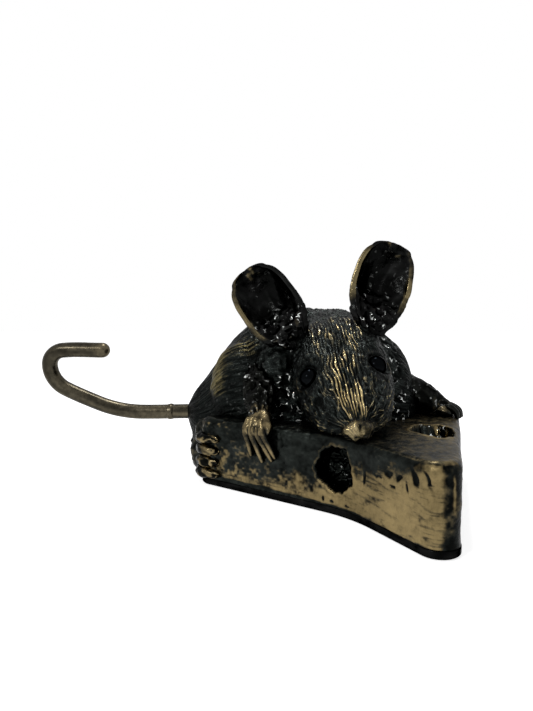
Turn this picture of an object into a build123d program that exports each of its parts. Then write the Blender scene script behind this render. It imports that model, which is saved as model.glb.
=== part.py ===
from build123d import *
import os
from math import cos, radians, sin, tan

# A cast bronze mouse that leans over a wedge of cheese. Millimetres, +Z up, origin on the table under
# the middle of the wedge. The mouse faces -Y; left and right are the mouse's own.

# Shared by all pieces
OVERRUN = 4.0  # how far a cutting shape runs past what it cuts
PIN_CLEARANCE = 0.05  # radial room round each dowel, screw and spigot
HOLE_END_GAP = 0.4  # room at the blind end of each pin or screw hole

# Cheese wedge: a plan with four corners, from the tip round by the front to the back
CHEESE_WIDTH = 103.0
CHEESE_DEPTH = 81.0
CHEESE_HEIGHT = 23.0
CHEESE_TIP_SHARES = (-0.602, 0.241)
CHEESE_BEND_SHARES = (-0.073, -0.259)
CHEESE_FRONT_SHARES = (0.112, -0.698)
CHEESE_BACK_SHARES = (0.398, 0.346)
CHEESE_TIP_RADIUS = 5.0
CHEESE_BEND_RADIUS = 40.0
CHEESE_FRONT_RADIUS = 5.5
CHEESE_BACK_RADIUS = 6.0
CHEESE_EDGE_RADIUS = 2.0
FRONT_HOLE_RADIUS = 6.6
FRONT_HOLE_PLACE_SHARE = 0.075  # along the front, from the bend towards the tip
FRONT_HOLE_HEIGHT_SHARE = 0.55
TOP_HOLE_WIDTH = 12.0
TOP_HOLE_LENGTH = 17.0
TOP_HOLE_DEPTH = 5.5
TOP_HOLE_SHARES = (0.195, -0.12)
RIND_HOLE_RADIUS = 3.4
RIND_HOLE_PLACE_SHARE = 0.36  # along the rind, from the front corner
RIND_HOLE_HEIGHT_SHARE = 0.62

# Base plate under the wedge, and its countersunk screws
BASE_THICKNESS = 2.4
BASE_EDGE_RADIUS = 0.9
BASE_SCREW_SHARES = ((-0.37, 0.14), (0.115, -0.42), (0.31, 0.24))
BASE_SCREW_RADIUS = 1.5
BASE_SCREW_HEAD_RADIUS = 2.7
BASE_SCREW_LENGTH = 9.0
BASE_SCREW_RECESS = 0.25  # how far the heads lie above the table
BASE_SCREW_SLOT_WIDTH = 0.8
BASE_SCREW_SLOT_DEPTH = 0.6

# Cap screws, up through the wedge into the mouse's chest
CHEST_SCREW_SHARES = ((-0.24, 0.17), (0.07, 0.17))
CHEST_SCREW_RADIUS = 2.5
CHEST_SCREW_HEAD_RADIUS = 4.25
CHEST_SCREW_HEAD_HEIGHT = 5.0
CHEST_SCREW_GRIP = 8.0  # cheese left above the counterbore
CHEST_SCREW_THREAD = 8.0  # thread in the chest
CHEST_SCREW_SOCKET_SIDES = 6
CHEST_SCREW_SOCKET_RADIUS = 2.3
CHEST_SCREW_SOCKET_DEPTH = 2.5

# Body: ellipses across the trunk, from the rump to the left shoulder
BODY_LENGTH = 88.0
BODY_DEPTH = 62.0
BODY_HEIGHT = 63.0
BODY_SET_BACK = 8.0  # middle of the trunk behind the wedge's back corner
BODY_PLACE_SHARE = -0.18  # middle of the trunk along the wedge's width
# Along the trunk, sideways, height of the middle, half depth, half height
BODY_STATION_SHARES = (
    (0.000, 0.100, 0.330, 0.030, 0.035),
    (0.030, 0.100, 0.308, 0.140, 0.130),
    (0.100, 0.090, 0.315, 0.260, 0.255),
    (0.220, 0.065, 0.375, 0.385, 0.420),
    (0.380, 0.030, 0.430, 0.475, 0.520),
    (0.540, 0.000, 0.440, 0.500, 0.535),
    (0.700, -0.030, 0.425, 0.470, 0.505),
    (0.840, -0.060, 0.405, 0.385, 0.430),
    (0.950, -0.080, 0.390, 0.230, 0.270),
    (1.000, -0.080, 0.390, 0.040, 0.050),
)
# Haunch and shoulder: swellings on the trunk's right side
HAUNCH_LENGTH = 25.0
HAUNCH_DEPTH = 25.0
HAUNCH_HEIGHT = 36.0
HAUNCH_SHARES = (-0.2325, -0.154, 0.492)
SHOULDER_LENGTH = 20.0
SHOULDER_DEPTH = 26.0
SHOULDER_HEIGHT = 26.0
SHOULDER_SHARES = (-0.085, -0.267, 0.603)
CORE_LENGTH = 56.0
CORE_DEPTH = 28.0
CORE_HEIGHT = 36.0
CORE_MIDDLE = 24.0  # height of the core's middle
CORE_SET_BACK = 6.0  # middle of the core behind the middle of the trunk
CORE_NECK_LENGTH = 32.0
CORE_NECK_WIDTH = 14.0
BELLY_PLATE_THICKNESS = 2.0
BELLY_PLATE_LAP = 2.0  # rim of the plate past the core hole
BELLY_PLATE_RECESS = 0.5

# Head: ellipses square to the line from the nose to the nape
HEAD_LENGTH = 58.0
HEAD_WIDTH = 31.6
HEAD_DEPTH = 27.2
HEAD_PITCH = 37.5
HEAD_ROLL = 13.5
HEAD_YAW = 6.0
# The crown is the place between the ears on the line from the nose to the nape
CROWN_SET_BACK = 4.0  # behind the trunk's front
CROWN_DROP = 10.0  # below the trunk's top
CROWN_ASIDE = 9.8  # to the left of the trunk's middle
# Along from the nose, drop of the middle, half width, half depth
HEAD_STATION_SHARES = (
    (0.000, 0.075, 0.060, 0.065),
    (0.025, 0.085, 0.108, 0.125),
    (0.070, 0.125, 0.150, 0.162),
    (0.170, 0.215, 0.305, 0.277),
    (0.345, 0.295, 0.450, 0.412),
    (0.520, 0.316, 0.494, 0.478),
    (0.690, 0.316, 0.500, 0.500),
    (0.860, 0.345, 0.462, 0.455),
    (1.000, 0.380, 0.380, 0.380),
)

# Eyes: round beads, half sunk in their sockets
EYE_RADIUS = 3.2
EYE_SPREAD_SHARE = 0.67  # of the head's width
EYE_DROP_SHARE = 0.052
EYE_ALONG_SHARE = 0.456

# Ears: cupped shells on a solid stem with a peg
EAR_LENGTH = 31.0
EAR_WIDTH = 20.5
EAR_DEPTH = 7.0
EAR_WALL = 1.6
EAR_SPLAY = 25.0
EAR_TILT = 10.0  # of the pair, to the mouse's right
EAR_TURN = 8.0  # of the cup, outwards
EAR_LEAN = 6.0  # backwards
EAR_SPREAD_SHARE = 0.775  # of the head's width
EAR_SINK_SHARE = 0.055  # of the head's depth, root below the line from the nose to the nape
EAR_ALONG_SHARE = 0.741
# Along the ear, half width, depth of the back, depth of the cup, lean of the back towards the rim
EAR_STATION_SHARES = (
    (0.00, 0.260, 0.520, 0.100, 0.00),
    (0.18, 0.320, 0.640, 0.350, 0.00),
    (0.36, 0.420, 0.880, 0.850, 0.00),
    (0.56, 0.500, 1.000, 1.000, 0.00),
    (0.76, 0.480, 0.900, 1.000, 0.06),
    (0.91, 0.360, 0.640, 0.800, 0.16),
    (1.00, 0.170, 0.360, 0.300, 0.26),
)
EAR_PEG_RADIUS = 1.5
EAR_PEG_LENGTH = 9.0
EAR_PEG_SET_SHARE = 0.25  # of the ear's depth, behind its rim
EAR_PEG_TOP_SHARE = 0.16  # of the ear's length

# Dowels that pin the separate castings together
NECK_DOWEL_RADIUS = 2.5
NECK_DOWEL_LENGTH = 20.0
NECK_DOWEL_DROP_SHARE = 0.257  # of the head's depth
NECK_DOWEL_ALONG_SHARE = 0.414
LIMB_DOWEL_RADIUS = 1.25
LIMB_DOWEL_LENGTH = 9.0

# Forelegs: round sections from the shoulder to the wrist, a paw and four fingers
ARM_ROOT_RADIUS = 6.5
ARM_ELBOW_RADIUS = 5.0
ARM_WRIST_RADIUS = 3.2
ELBOW_PLACE_SHARE = 0.55  # from the shoulder to the paw
PAW_LENGTH = 10.0
PAW_WIDTH = 9.0
PAW_THICKNESS = 5.6
RIGHT_PAW_DROOP = 52.0  # tilt over the front edge
LEFT_PAW_DROOP = 8.0
FINGER_ROOT_RADIUS = 1.1
FINGER_TIP_RADIUS = 0.6
FINGER_TAPER_SHARES = (0.0, 0.1, 0.5, 1.0)
FINGER_FAN = 7.6  # spread of the fingertips
FINGER_LENGTH_SHARES = (0.82, 0.92, 1.0, 0.86)  # from the thumb's side
RIGHT_PAW_PLACE_SHARE = 0.46  # along the front, from the bend towards the tip
RIGHT_PAW_REACH = 1.0  # middle of the paw out past the edge
RIGHT_PAW_RISE = 1.4  # middle of the paw above the wedge
RIGHT_FINGER_DROP = 11.0  # longest fingertip below the top of the wedge
# Out past the edge in paw lengths, drop, fan, shift towards the bend
RIGHT_FINGER_SHARES = (
    (0.15, -0.05, 0.70, -0.08),
    (0.24, 0.18, 0.78, 0.00),
    (0.15, 0.60, 0.90, 0.10),
    (0.06, 1.00, 1.00, 0.22),
)
RIGHT_SHOULDER_SHARES = (-0.16, -0.32, 0.57)
RIGHT_ELBOW_LIFT = 1.0
LEFT_PAW_PLACE_SHARE = 0.88  # along the rind, from the front corner to the back
LEFT_PAW_INSET = 6.5
LEFT_PAW_RISE = 2.0
LEFT_FINGER_REACH = 6.8
# Out from the paw, rise, fan
LEFT_FINGER_SHARES = (
    (0.25, 0.15, 0.60),
    (0.60, 0.20, 0.85),
    (0.90, 0.00, 0.95),
    (1.05, -0.40, 1.00),
)
LEFT_SHOULDER_SHARES = (0.37, -0.14, 0.52)
LEFT_ELBOW_LIFT = 1.5

# Hind feet: a sole with four toes
TOE_COUNT = 4
TOE_RADIUS = 1.9
TOE_TIP_RADIUS = 1.2
TOE_PITCH = 3.9
TOE_LOWEST = 4.4
TOE_WRAP_SHARES = (0.375, 0.5, 0.625)  # of a full turn round the wedge's tip
TOE_SINK_SHARE = 0.3  # of its radius, middle of a toe outside the wedge
TOE_REACH = 5.0  # along the front, past the tip's round
HEEL_RADIUS = 6.0
HEEL_WRAP_SHARE = 0.32
LEFT_HEEL_SHARES = (0.36, 0.06, 0.0)
FOOT_LENGTH = 24.0
FOOT_WIDTH = 11.0
FOOT_HEIGHT = 7.0
FOOT_FAN = 8.0
# Out along the foot, fan, rise
LEFT_TOE_SHARES = ((0.30, 0.70, 0.30), (0.50, 1.00, 0.32), (0.66, 1.15, 0.14))
LEFT_DOWEL_SHARES = (0.20, 0.45)

# Tail: a bent rod in a socket in the rump
TAIL_RADIUS = 2.9
TAIL_TIP_ROUND = 1.9
TAIL_SPIGOT = 10.0
TAIL_REACH = 53.0  # from the rump to the far bend
TAIL_RISE = 24.6  # from the root to the upper run
TAIL_LEAN = 6.0  # upper run nearer the front than the root
TAIL_HOOK = 23.3  # length of the upper run
# Out from the rump, lean, rise
TAIL_ROUTE_SHARES = ((0.515, 0.00, -0.02), (1.00, 0.40, 0.47), (1.00, 1.00, 1.00))
TAIL_BEND_SHARES = (0.36, 0.48, 0.48)  # of the shorter run at a bend, taken up by the arc
TAIL_COLLAR_RADIUS = 3.3
TAIL_COLLAR_LENGTH = 2.6
TAIL_COLLAR_ROUND = 0.3
TAIL_COLLAR_REACH = 5.5  # from the rump


def plan_point(shares):
    """A point on the table, in shares of the wedge's width and depth."""
    return Vector(shares[0] * CHEESE_WIDTH, shares[1] * CHEESE_DEPTH)


def between(start, end, share):
    return start + (end - start) * share


def up(height):
    return Vector(0, 0, height)


def ellipsoid(length, width, height):
    return scale(Sphere(1), by=(length / 2, width / 2, height / 2))


def rod(start, direction, length, radius):
    """A round bar that starts at a point and runs along a direction."""
    bar = Cylinder(radius, length, align=(Align.CENTER, Align.CENTER, Align.MIN))
    return Plane(origin=start, z_dir=direction) * bar


def rod_hole(start, direction, length, radius):
    """The hole for such a bar, a little wider and longer at both ends."""
    heading = Vector(direction).normalized()
    long = length + 2 * HOLE_END_GAP
    return rod(start - heading * HOLE_END_GAP, heading, long, radius + PIN_CLEARANCE)


def limb(points, radii, side):
    """Round sections square to a bent line, with their seams kept to one side."""
    sections = []
    for index, (point, radius) in enumerate(zip(points, radii)):
        before = points[max(index - 1, 0)]
        after = points[min(index + 1, len(points) - 1)]
        along = (after - before).normalized()
        across = side - along * side.dot(along)
        sections.append(Plane(origin=point, x_dir=across, z_dir=along) * Circle(radius))
    return loft(sections)


def fanned(count, spread):
    """Places of a row of fingers or toes, evenly spread about zero."""
    return [spread * (index / (count - 1) - 1 / 2) for index in range(count)]


# Cheese wedge
tip = plan_point(CHEESE_TIP_SHARES)
bend = plan_point(CHEESE_BEND_SHARES)
front_corner = plan_point(CHEESE_FRONT_SHARES)
back_corner = plan_point(CHEESE_BACK_SHARES)
front_run = (tip - bend).normalized()
front_out = Vector(-front_run.Y, front_run.X)
rind_run = (back_corner - front_corner).normalized()
rind_out = Vector(rind_run.Y, -rind_run.X)


def cheese_outline():
    corners = (tip, bend, front_corner, back_corner)
    radii = (CHEESE_TIP_RADIUS, CHEESE_BEND_RADIUS, CHEESE_FRONT_RADIUS, CHEESE_BACK_RADIUS)
    outline = make_face(Polyline(*corners, close=True))
    for corner, radius in zip(corners, radii):
        outline = fillet(outline.vertices().sort_by_distance(corner)[0], radius)
    return outline


cheese_block = extrude(cheese_outline(), CHEESE_HEIGHT)


def base_screw_places():
    return [plan_point(shares) for shares in BASE_SCREW_SHARES]


def chest_screw_places():
    return [plan_point(shares) for shares in CHEST_SCREW_SHARES]


def cheese_wedge():
    wedge = Pos(0, 0, BASE_THICKNESS) * extrude(cheese_outline(), CHEESE_HEIGHT - BASE_THICKNESS)
    wedge = fillet(wedge.faces().sort_by(Axis.Z)[-1].edges(), CHEESE_EDGE_RADIUS)
    front = between(bend, tip, FRONT_HOLE_PLACE_SHARE) + up(FRONT_HOLE_HEIGHT_SHARE * CHEESE_HEIGHT)
    top = plan_point(TOP_HOLE_SHARES) + up(CHEESE_HEIGHT)
    rind = between(front_corner, back_corner, RIND_HOLE_PLACE_SHARE)
    rind += up(RIND_HOLE_HEIGHT_SHARE * CHEESE_HEIGHT)
    wedge -= Pos(front) * Sphere(FRONT_HOLE_RADIUS)
    wedge -= Pos(top) * ellipsoid(TOP_HOLE_WIDTH, TOP_HOLE_LENGTH, 2 * TOP_HOLE_DEPTH)
    wedge -= Pos(rind) * Sphere(RIND_HOLE_RADIUS)
    for place in base_screw_places():
        wedge -= rod_hole(place + up(BASE_SCREW_RECESS), (0, 0, 1), BASE_SCREW_LENGTH, BASE_SCREW_RADIUS)
    shelf = CHEESE_HEIGHT - CHEST_SCREW_GRIP
    for place in chest_screw_places():
        wedge -= rod(place, (0, 0, 1), shelf, CHEST_SCREW_HEAD_RADIUS + PIN_CLEARANCE)
        wedge -= rod(place, (0, 0, 1), CHEESE_HEIGHT + OVERRUN, CHEST_SCREW_RADIUS + PIN_CLEARANCE)
    return wedge


# Base plate and its screws
def screw_head(place, room):
    """A countersunk head, point up, with the same room all round."""
    height = BASE_SCREW_HEAD_RADIUS - BASE_SCREW_RADIUS
    cone = Cone(
        BASE_SCREW_HEAD_RADIUS + room,
        BASE_SCREW_RADIUS + room,
        height,
        align=(Align.CENTER, Align.CENTER, Align.MIN),
    )
    return Pos(place + up(BASE_SCREW_RECESS)) * cone


def base_plate():
    plate = extrude(cheese_outline(), BASE_THICKNESS)
    plate = fillet(plate.faces().sort_by(Axis.Z)[0].edges(), BASE_EDGE_RADIUS)
    for place in base_screw_places():
        plate -= screw_head(place, PIN_CLEARANCE)
        plate -= rod(place, (0, 0, 1), BASE_SCREW_RECESS, BASE_SCREW_HEAD_RADIUS + PIN_CLEARANCE)
        plate -= rod(place, (0, 0, 1), BASE_THICKNESS, BASE_SCREW_RADIUS + PIN_CLEARANCE)
    return plate


def base_screws():
    screws = []
    for place in base_screw_places():
        bottom = place + up(BASE_SCREW_RECESS)
        screw = screw_head(place, 0) + rod(bottom, (0, 0, 1), BASE_SCREW_LENGTH, BASE_SCREW_RADIUS)
        slot = Box(2 * BASE_SCREW_HEAD_RADIUS, BASE_SCREW_SLOT_WIDTH, 2 * BASE_SCREW_SLOT_DEPTH)
        screws.append(screw - Pos(bottom) * slot)
    return screws


def chest_screws():
    screws = []
    for place in chest_screw_places():
        seat = place + up(CHEESE_HEIGHT - CHEST_SCREW_GRIP)
        screw = rod(seat, (0, 0, 1), CHEST_SCREW_GRIP + CHEST_SCREW_THREAD, CHEST_SCREW_RADIUS)
        screw += rod(seat, (0, 0, -1), CHEST_SCREW_HEAD_HEIGHT, CHEST_SCREW_HEAD_RADIUS)
        socket = RegularPolygon(CHEST_SCREW_SOCKET_RADIUS, CHEST_SCREW_SOCKET_SIDES)
        key = extrude(socket, CHEST_SCREW_SOCKET_DEPTH)
        screws.append(screw - Pos(seat - up(CHEST_SCREW_HEAD_HEIGHT)) * key)
    return screws


# Body
body_middle = Vector(BODY_PLACE_SHARE * CHEESE_WIDTH, back_corner.Y + BODY_SET_BACK)


def body_point(shares):
    """A point in shares of the trunk's length, depth and height, from its middle on the table."""
    along, deep, high = shares
    return body_middle + Vector(along * BODY_LENGTH, deep * BODY_DEPTH, high * BODY_HEIGHT)


def body_form():
    sections = []
    for along, deep, high, half_depth, half_height in BODY_STATION_SHARES:
        place = body_point((along - 0.5, deep, high))
        across = Plane(origin=place, x_dir=(0, 1, 0), z_dir=(1, 0, 0))
        sections.append(across * Ellipse(half_depth * BODY_DEPTH, half_height * BODY_HEIGHT))
    return loft(sections)


def trunk_form():
    form = body_form()
    form += Pos(body_point(HAUNCH_SHARES)) * ellipsoid(HAUNCH_LENGTH, HAUNCH_DEPTH, HAUNCH_HEIGHT)
    form += Pos(body_point(SHOULDER_SHARES)) * ellipsoid(SHOULDER_LENGTH, SHOULDER_DEPTH, SHOULDER_HEIGHT)
    return split(form, Plane.XY, keep=Keep.TOP)


trunk = trunk_form()
core_place = body_middle + Vector(0, CORE_SET_BACK)


def core_neck(lap):
    return Ellipse(CORE_NECK_LENGTH / 2 + lap, CORE_NECK_WIDTH / 2 + lap)


def body():
    shell = trunk - cheese_block
    shell -= Pos(core_place + up(CORE_MIDDLE)) * ellipsoid(CORE_LENGTH, CORE_DEPTH, CORE_HEIGHT)
    shell -= Pos(core_place) * extrude(core_neck(0), CORE_MIDDLE)
    rebate = BELLY_PLATE_RECESS + BELLY_PLATE_THICKNESS
    shell -= Pos(core_place) * extrude(core_neck(BELLY_PLATE_LAP + PIN_CLEARANCE), rebate)
    for place in chest_screw_places():
        shell -= rod_hole(place + up(CHEESE_HEIGHT), (0, 0, 1), CHEST_SCREW_THREAD, CHEST_SCREW_RADIUS)
    shell -= rod_hole(*neck_dowel_line(), NECK_DOWEL_RADIUS)
    for line in foreleg_dowel_lines() + hind_foot_dowel_lines():
        shell -= rod_hole(*line, LIMB_DOWEL_RADIUS)
    return shell - tail_socket()


def belly_plate():
    plate = extrude(core_neck(BELLY_PLATE_LAP), BELLY_PLATE_THICKNESS)
    return Pos(core_place + up(BELLY_PLATE_RECESS)) * plate


# Head
def head_plane():
    """Origin at the nose tip, local z back to the nape, local x to the mouse's left, local y down."""
    box = trunk.bounding_box()
    crown = Vector(body_middle.X + CROWN_ASIDE, box.min.Y + CROWN_SET_BACK, box.max.Z - CROWN_DROP)
    yaw = radians(HEAD_YAW)
    pitch = radians(HEAD_PITCH)
    roll = radians(HEAD_ROLL)
    back = Vector(-sin(yaw) * cos(pitch), cos(yaw) * cos(pitch), sin(pitch))
    level = Vector(cos(yaw), sin(yaw), 0)
    nose = crown - back * (EAR_ALONG_SHARE * HEAD_LENGTH)
    return Plane(origin=nose, x_dir=level * cos(roll) + level.cross(back) * sin(roll), z_dir=back)


head_frame = head_plane()


def head_point(aside, drop, along):
    """A point in shares of the head's width, depth and length, from the nose tip."""
    return head_frame.from_local_coords(Vector(aside * HEAD_WIDTH, drop * HEAD_DEPTH, along * HEAD_LENGTH))


def head_form():
    sections = []
    for along, drop, half_width, half_depth in HEAD_STATION_SHARES:
        place = Pos(0, drop * HEAD_DEPTH, along * HEAD_LENGTH)
        ring = Ellipse(half_width * HEAD_WIDTH, half_depth * HEAD_DEPTH)
        sections.append(head_frame.location * place * ring)
    return loft(sections)


skull = head_form()


def eye(side, room=0):
    middle = head_point(side * EYE_SPREAD_SHARE / 2, EYE_DROP_SHARE, EYE_ALONG_SHARE)
    return Pos(middle) * Sphere(EYE_RADIUS + room)


def neck_dowel_line():
    start = head_point(0, NECK_DOWEL_DROP_SHARE, NECK_DOWEL_ALONG_SHARE)
    return start, Vector(0, 1), NECK_DOWEL_LENGTH


def head():
    casting = skull - trunk - cheese_block
    for side in (1, -1):
        casting -= eye(side, PIN_CLEARANCE)
        casting -= rod_hole(*ear_peg_line(side), EAR_PEG_RADIUS)
    return casting - rod_hole(*neck_dowel_line(), NECK_DOWEL_RADIUS)


# Ears
def ear_plane(side):
    """Origin at the ear's root, local z up the ear, local y out of the cup."""
    root = head_point(side * EAR_SPREAD_SHARE / 2, EAR_SINK_SHARE, EAR_ALONG_SHARE)
    tilt = radians(side * EAR_SPLAY - EAR_TILT)
    lean = radians(EAR_LEAN)
    turn = radians(side * EAR_TURN)
    along = Vector(sin(tilt) * cos(lean), sin(lean), cos(tilt) * cos(lean))
    facing = Vector(sin(turn), -cos(turn), 0)
    return Plane(origin=root, x_dir=facing.cross(along), z_dir=along)


def ear_section(half_width, depth, cup, lean):
    """A cupped slice: outer back, rim, inner cup, rim."""
    wide = half_width * EAR_WIDTH
    inner = wide - EAR_WALL
    rim = lean * EAR_DEPTH
    back = rim - depth * EAR_DEPTH
    floor = rim - cup * (depth * EAR_DEPTH - EAR_WALL)
    return make_face(
        [
            ThreePointArc((-wide, rim), (0, back), (wide, rim)),
            Line((wide, rim), (inner, rim)),
            ThreePointArc((inner, rim), (0, floor), (-inner, rim)),
            Line((-inner, rim), (-wide, rim)),
        ]
    )


def ear_peg_line(side):
    frame = ear_plane(side)
    top = Vector(0, -EAR_PEG_SET_SHARE * EAR_DEPTH, EAR_PEG_TOP_SHARE * EAR_LENGTH)
    return frame.from_local_coords(top), -frame.z_dir, EAR_PEG_LENGTH


def ear(side):
    frame = ear_plane(side)
    sections = []
    for along, half_width, depth, cup, lean in EAR_STATION_SHARES:
        place = frame.location * Pos(0, 0, along * EAR_LENGTH)
        sections.append(place * ear_section(half_width, depth, cup, lean))
    return loft(sections) - skull + rod(*ear_peg_line(side), EAR_PEG_RADIUS) - trunk


# Forelegs
right_edge = between(bend, tip, RIGHT_PAW_PLACE_SHARE) + up(CHEESE_HEIGHT)
left_edge = between(front_corner, back_corner, LEFT_PAW_PLACE_SHARE) + up(CHEESE_HEIGHT)
right_paw = right_edge + front_out * RIGHT_PAW_REACH + up(RIGHT_PAW_RISE)
left_paw = left_edge - rind_out * LEFT_PAW_INSET + up(LEFT_PAW_RISE)
right_shoulder = body_point(RIGHT_SHOULDER_SHARES)
left_shoulder = body_point(LEFT_SHOULDER_SHARES)


def arm_points(shoulder, paw, lift):
    elbow = between(shoulder, paw, ELBOW_PLACE_SHARE) + up(lift)
    return [shoulder, elbow, paw]


def paw_form(place, out, droop):
    tilt = radians(droop)
    forward = out * cos(tilt) - up(sin(tilt))
    upward = out * sin(tilt) + up(cos(tilt))
    hand = Plane(origin=place, x_dir=forward, z_dir=upward)
    return hand * ellipsoid(PAW_LENGTH, PAW_WIDTH, PAW_THICKNESS)


def finger_radii():
    return [between(FINGER_ROOT_RADIUS, FINGER_TIP_RADIUS, share) for share in FINGER_TAPER_SHARES]


def right_finger(aside, long):
    """Over the front edge and down the front face."""
    points = []
    for out, drop, fan, shift in RIGHT_FINGER_SHARES:
        sideways = front_run * (fan * aside - shift * FINGER_FAN)
        down = up(-drop * long * RIGHT_FINGER_DROP)
        points.append(right_edge + front_out * (out * PAW_LENGTH) + sideways + down)
    return limb(points, finger_radii(), front_run)


def left_finger(aside, long):
    """Along the top of the wedge and just over the rind's edge."""
    points = []
    for out, rise, fan in LEFT_FINGER_SHARES:
        reach = rind_out * (out * long * LEFT_FINGER_REACH)
        points.append(left_paw + reach + rind_run * (fan * aside) + up(rise * PAW_THICKNESS))
    return limb(points, finger_radii(), rind_run)


def foreleg(shoulder, paw, lift, paw_solid, finger):
    radii = (ARM_ROOT_RADIUS, ARM_ELBOW_RADIUS, ARM_WRIST_RADIUS)
    casting = limb(arm_points(shoulder, paw, lift), radii, Vector(0, 0, 1)) + paw_solid
    for aside, long in zip(fanned(len(FINGER_LENGTH_SHARES), FINGER_FAN), FINGER_LENGTH_SHARES):
        casting += finger(aside, long)
    casting = casting - cheese_block - trunk - skull
    casting = casting.solids().sort_by(SortBy.VOLUME)[-1]
    for line in foreleg_dowel_lines():
        casting -= rod_hole(*line, LIMB_DOWEL_RADIUS)
    return casting


def right_foreleg():
    hand = paw_form(right_paw, front_out, RIGHT_PAW_DROOP)
    return foreleg(right_shoulder, right_paw, RIGHT_ELBOW_LIFT, hand, right_finger)


def left_foreleg():
    hand = paw_form(left_paw, rind_out, LEFT_PAW_DROOP)
    return foreleg(left_shoulder, left_paw, LEFT_ELBOW_LIFT, hand, left_finger)


def foreleg_dowel_lines():
    lines = []
    for shoulder, paw, lift in (
        (right_shoulder, right_paw, RIGHT_ELBOW_LIFT),
        (left_shoulder, left_paw, LEFT_ELBOW_LIFT),
    ):
        elbow = arm_points(shoulder, paw, lift)[1]
        along = (elbow - shoulder).normalized()
        lines.append((shoulder, along, (elbow - shoulder).length))
    return lines


# Hind feet
to_bend = (bend - tip).normalized()
to_back = (back_corner - tip).normalized()
halfway = (to_bend + to_back).normalized()
tip_middle = tip + halfway * (CHEESE_TIP_RADIUS / abs(to_bend.cross(halfway).Z))
toe_stack = TOE_PITCH * (TOE_COUNT - 1)


def round_tip(turn_share, distance):
    """A point beside the wedge's rounded tip, at a share of a full turn."""
    turn = radians(360 * turn_share)
    return tip_middle + Vector(cos(turn), sin(turn)) * distance


def right_toe(height):
    """Round the wedge's tip, then along its front."""
    points = [round_tip(share, CHEESE_TIP_RADIUS + TOE_SINK_SHARE * TOE_RADIUS) for share in TOE_WRAP_SHARES]
    points.append(points[-1] - front_run * TOE_REACH)
    points = [point + up(height) for point in points]
    return limb(points, (TOE_RADIUS, TOE_RADIUS, TOE_RADIUS, TOE_TIP_RADIUS), Vector(0, 0, 1))


right_heel = round_tip(HEEL_WRAP_SHARE, CHEESE_TIP_RADIUS + HEEL_RADIUS) + up(TOE_LOWEST + toe_stack / 2)


def right_hind_foot():
    high = toe_stack + 2 * HEEL_RADIUS
    foot = Pos(right_heel) * ellipsoid(2 * HEEL_RADIUS, 2 * HEEL_RADIUS, high)
    for index in range(TOE_COUNT):
        foot += right_toe(TOE_LOWEST + index * TOE_PITCH)
    foot = split(foot, Plane.XY, keep=Keep.TOP) - cheese_block - trunk
    foot = foot.solids().sort_by(SortBy.VOLUME)[-1]
    return foot - rod_hole(*hind_foot_dowel_lines()[0], LIMB_DOWEL_RADIUS)


left_heel = body_point(LEFT_HEEL_SHARES)


def left_hind_foot():
    """A flat foot on the table with its toes to the mouse's left."""
    foot = Pos(left_heel) * ellipsoid(FOOT_LENGTH, FOOT_WIDTH, 2 * FOOT_HEIGHT)
    for aside in fanned(TOE_COUNT, FOOT_FAN):
        points = [
            left_heel + Vector(out * FOOT_LENGTH, fan * aside, rise * FOOT_HEIGHT)
            for out, fan, rise in LEFT_TOE_SHARES
        ]
        foot += limb(points, (TOE_RADIUS, TOE_RADIUS, TOE_TIP_RADIUS), Vector(0, 0, 1))
    foot = split(foot, Plane.XY, keep=Keep.TOP) - trunk
    foot = foot.solids().sort_by(SortBy.VOLUME)[-1]
    return foot - rod_hole(*hind_foot_dowel_lines()[1], LIMB_DOWEL_RADIUS)


def hind_foot_dowel_lines():
    right = (right_heel, Vector(0, 1), LIMB_DOWEL_LENGTH)
    start = left_heel + Vector(LEFT_DOWEL_SHARES[0] * FOOT_LENGTH, 0, LEFT_DOWEL_SHARES[1] * FOOT_HEIGHT)
    return [right, (start, Vector(-1, 0), LIMB_DOWEL_LENGTH)]


# Tail
rump = body_point((-0.5, BODY_STATION_SHARES[0][1], BODY_STATION_SHARES[0][2]))


def tail_points():
    points = [rump + Vector(TAIL_SPIGOT, 0, 0)]
    for out, lean, rise in TAIL_ROUTE_SHARES:
        points.append(rump + Vector(-out * TAIL_REACH, -lean * TAIL_LEAN, rise * TAIL_RISE))
    points.append(points[-1] + Vector(TAIL_HOOK, 0, 0))
    return points


def tail_path():
    """Straight runs joined by arcs, each arc as large as its two runs allow."""
    points = tail_points()
    radii = []
    for before, corner, after, share in zip(points, points[1:], points[2:], TAIL_BEND_SHARES):
        turn = radians((corner - before).get_angle(after - corner))
        shorter = min((corner - before).length, (after - corner).length)
        radii.append(share * shorter / tan(turn / 2))
    return FilletPolyline(*points, radius=radii)


def tail_heading():
    points = tail_points()
    return (points[1] - points[0]).normalized()


def tail_socket():
    start = tail_points()[0] - tail_heading() * HOLE_END_GAP
    return rod(start, tail_heading(), TAIL_SPIGOT + TAIL_REACH, TAIL_RADIUS + PIN_CLEARANCE)


def tail():
    path = tail_path()
    bar = sweep(Plane(origin=path @ 0, z_dir=path % 0) * Circle(TAIL_RADIUS), path=path)
    end = bar.faces().sort_by_distance(path @ 1)[0]
    return fillet(end.edges(), TAIL_TIP_ROUND)


def tail_collar():
    """A low braze bead round the rod's straight root."""
    start = tail_points()[0] + tail_heading() * (TAIL_SPIGOT + TAIL_COLLAR_REACH)
    ring = rod(start, tail_heading(), TAIL_COLLAR_LENGTH, TAIL_COLLAR_RADIUS)
    ring = fillet(ring.edges().filter_by(GeomType.CIRCLE), TAIL_COLLAR_ROUND)
    long = TAIL_COLLAR_LENGTH + 2 * OVERRUN
    return ring - rod(start - tail_heading() * OVERRUN, tail_heading(), long, TAIL_RADIUS + PIN_CLEARANCE)


def dowels(lines, radius):
    return [rod(*line, radius) for line in lines]


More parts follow.
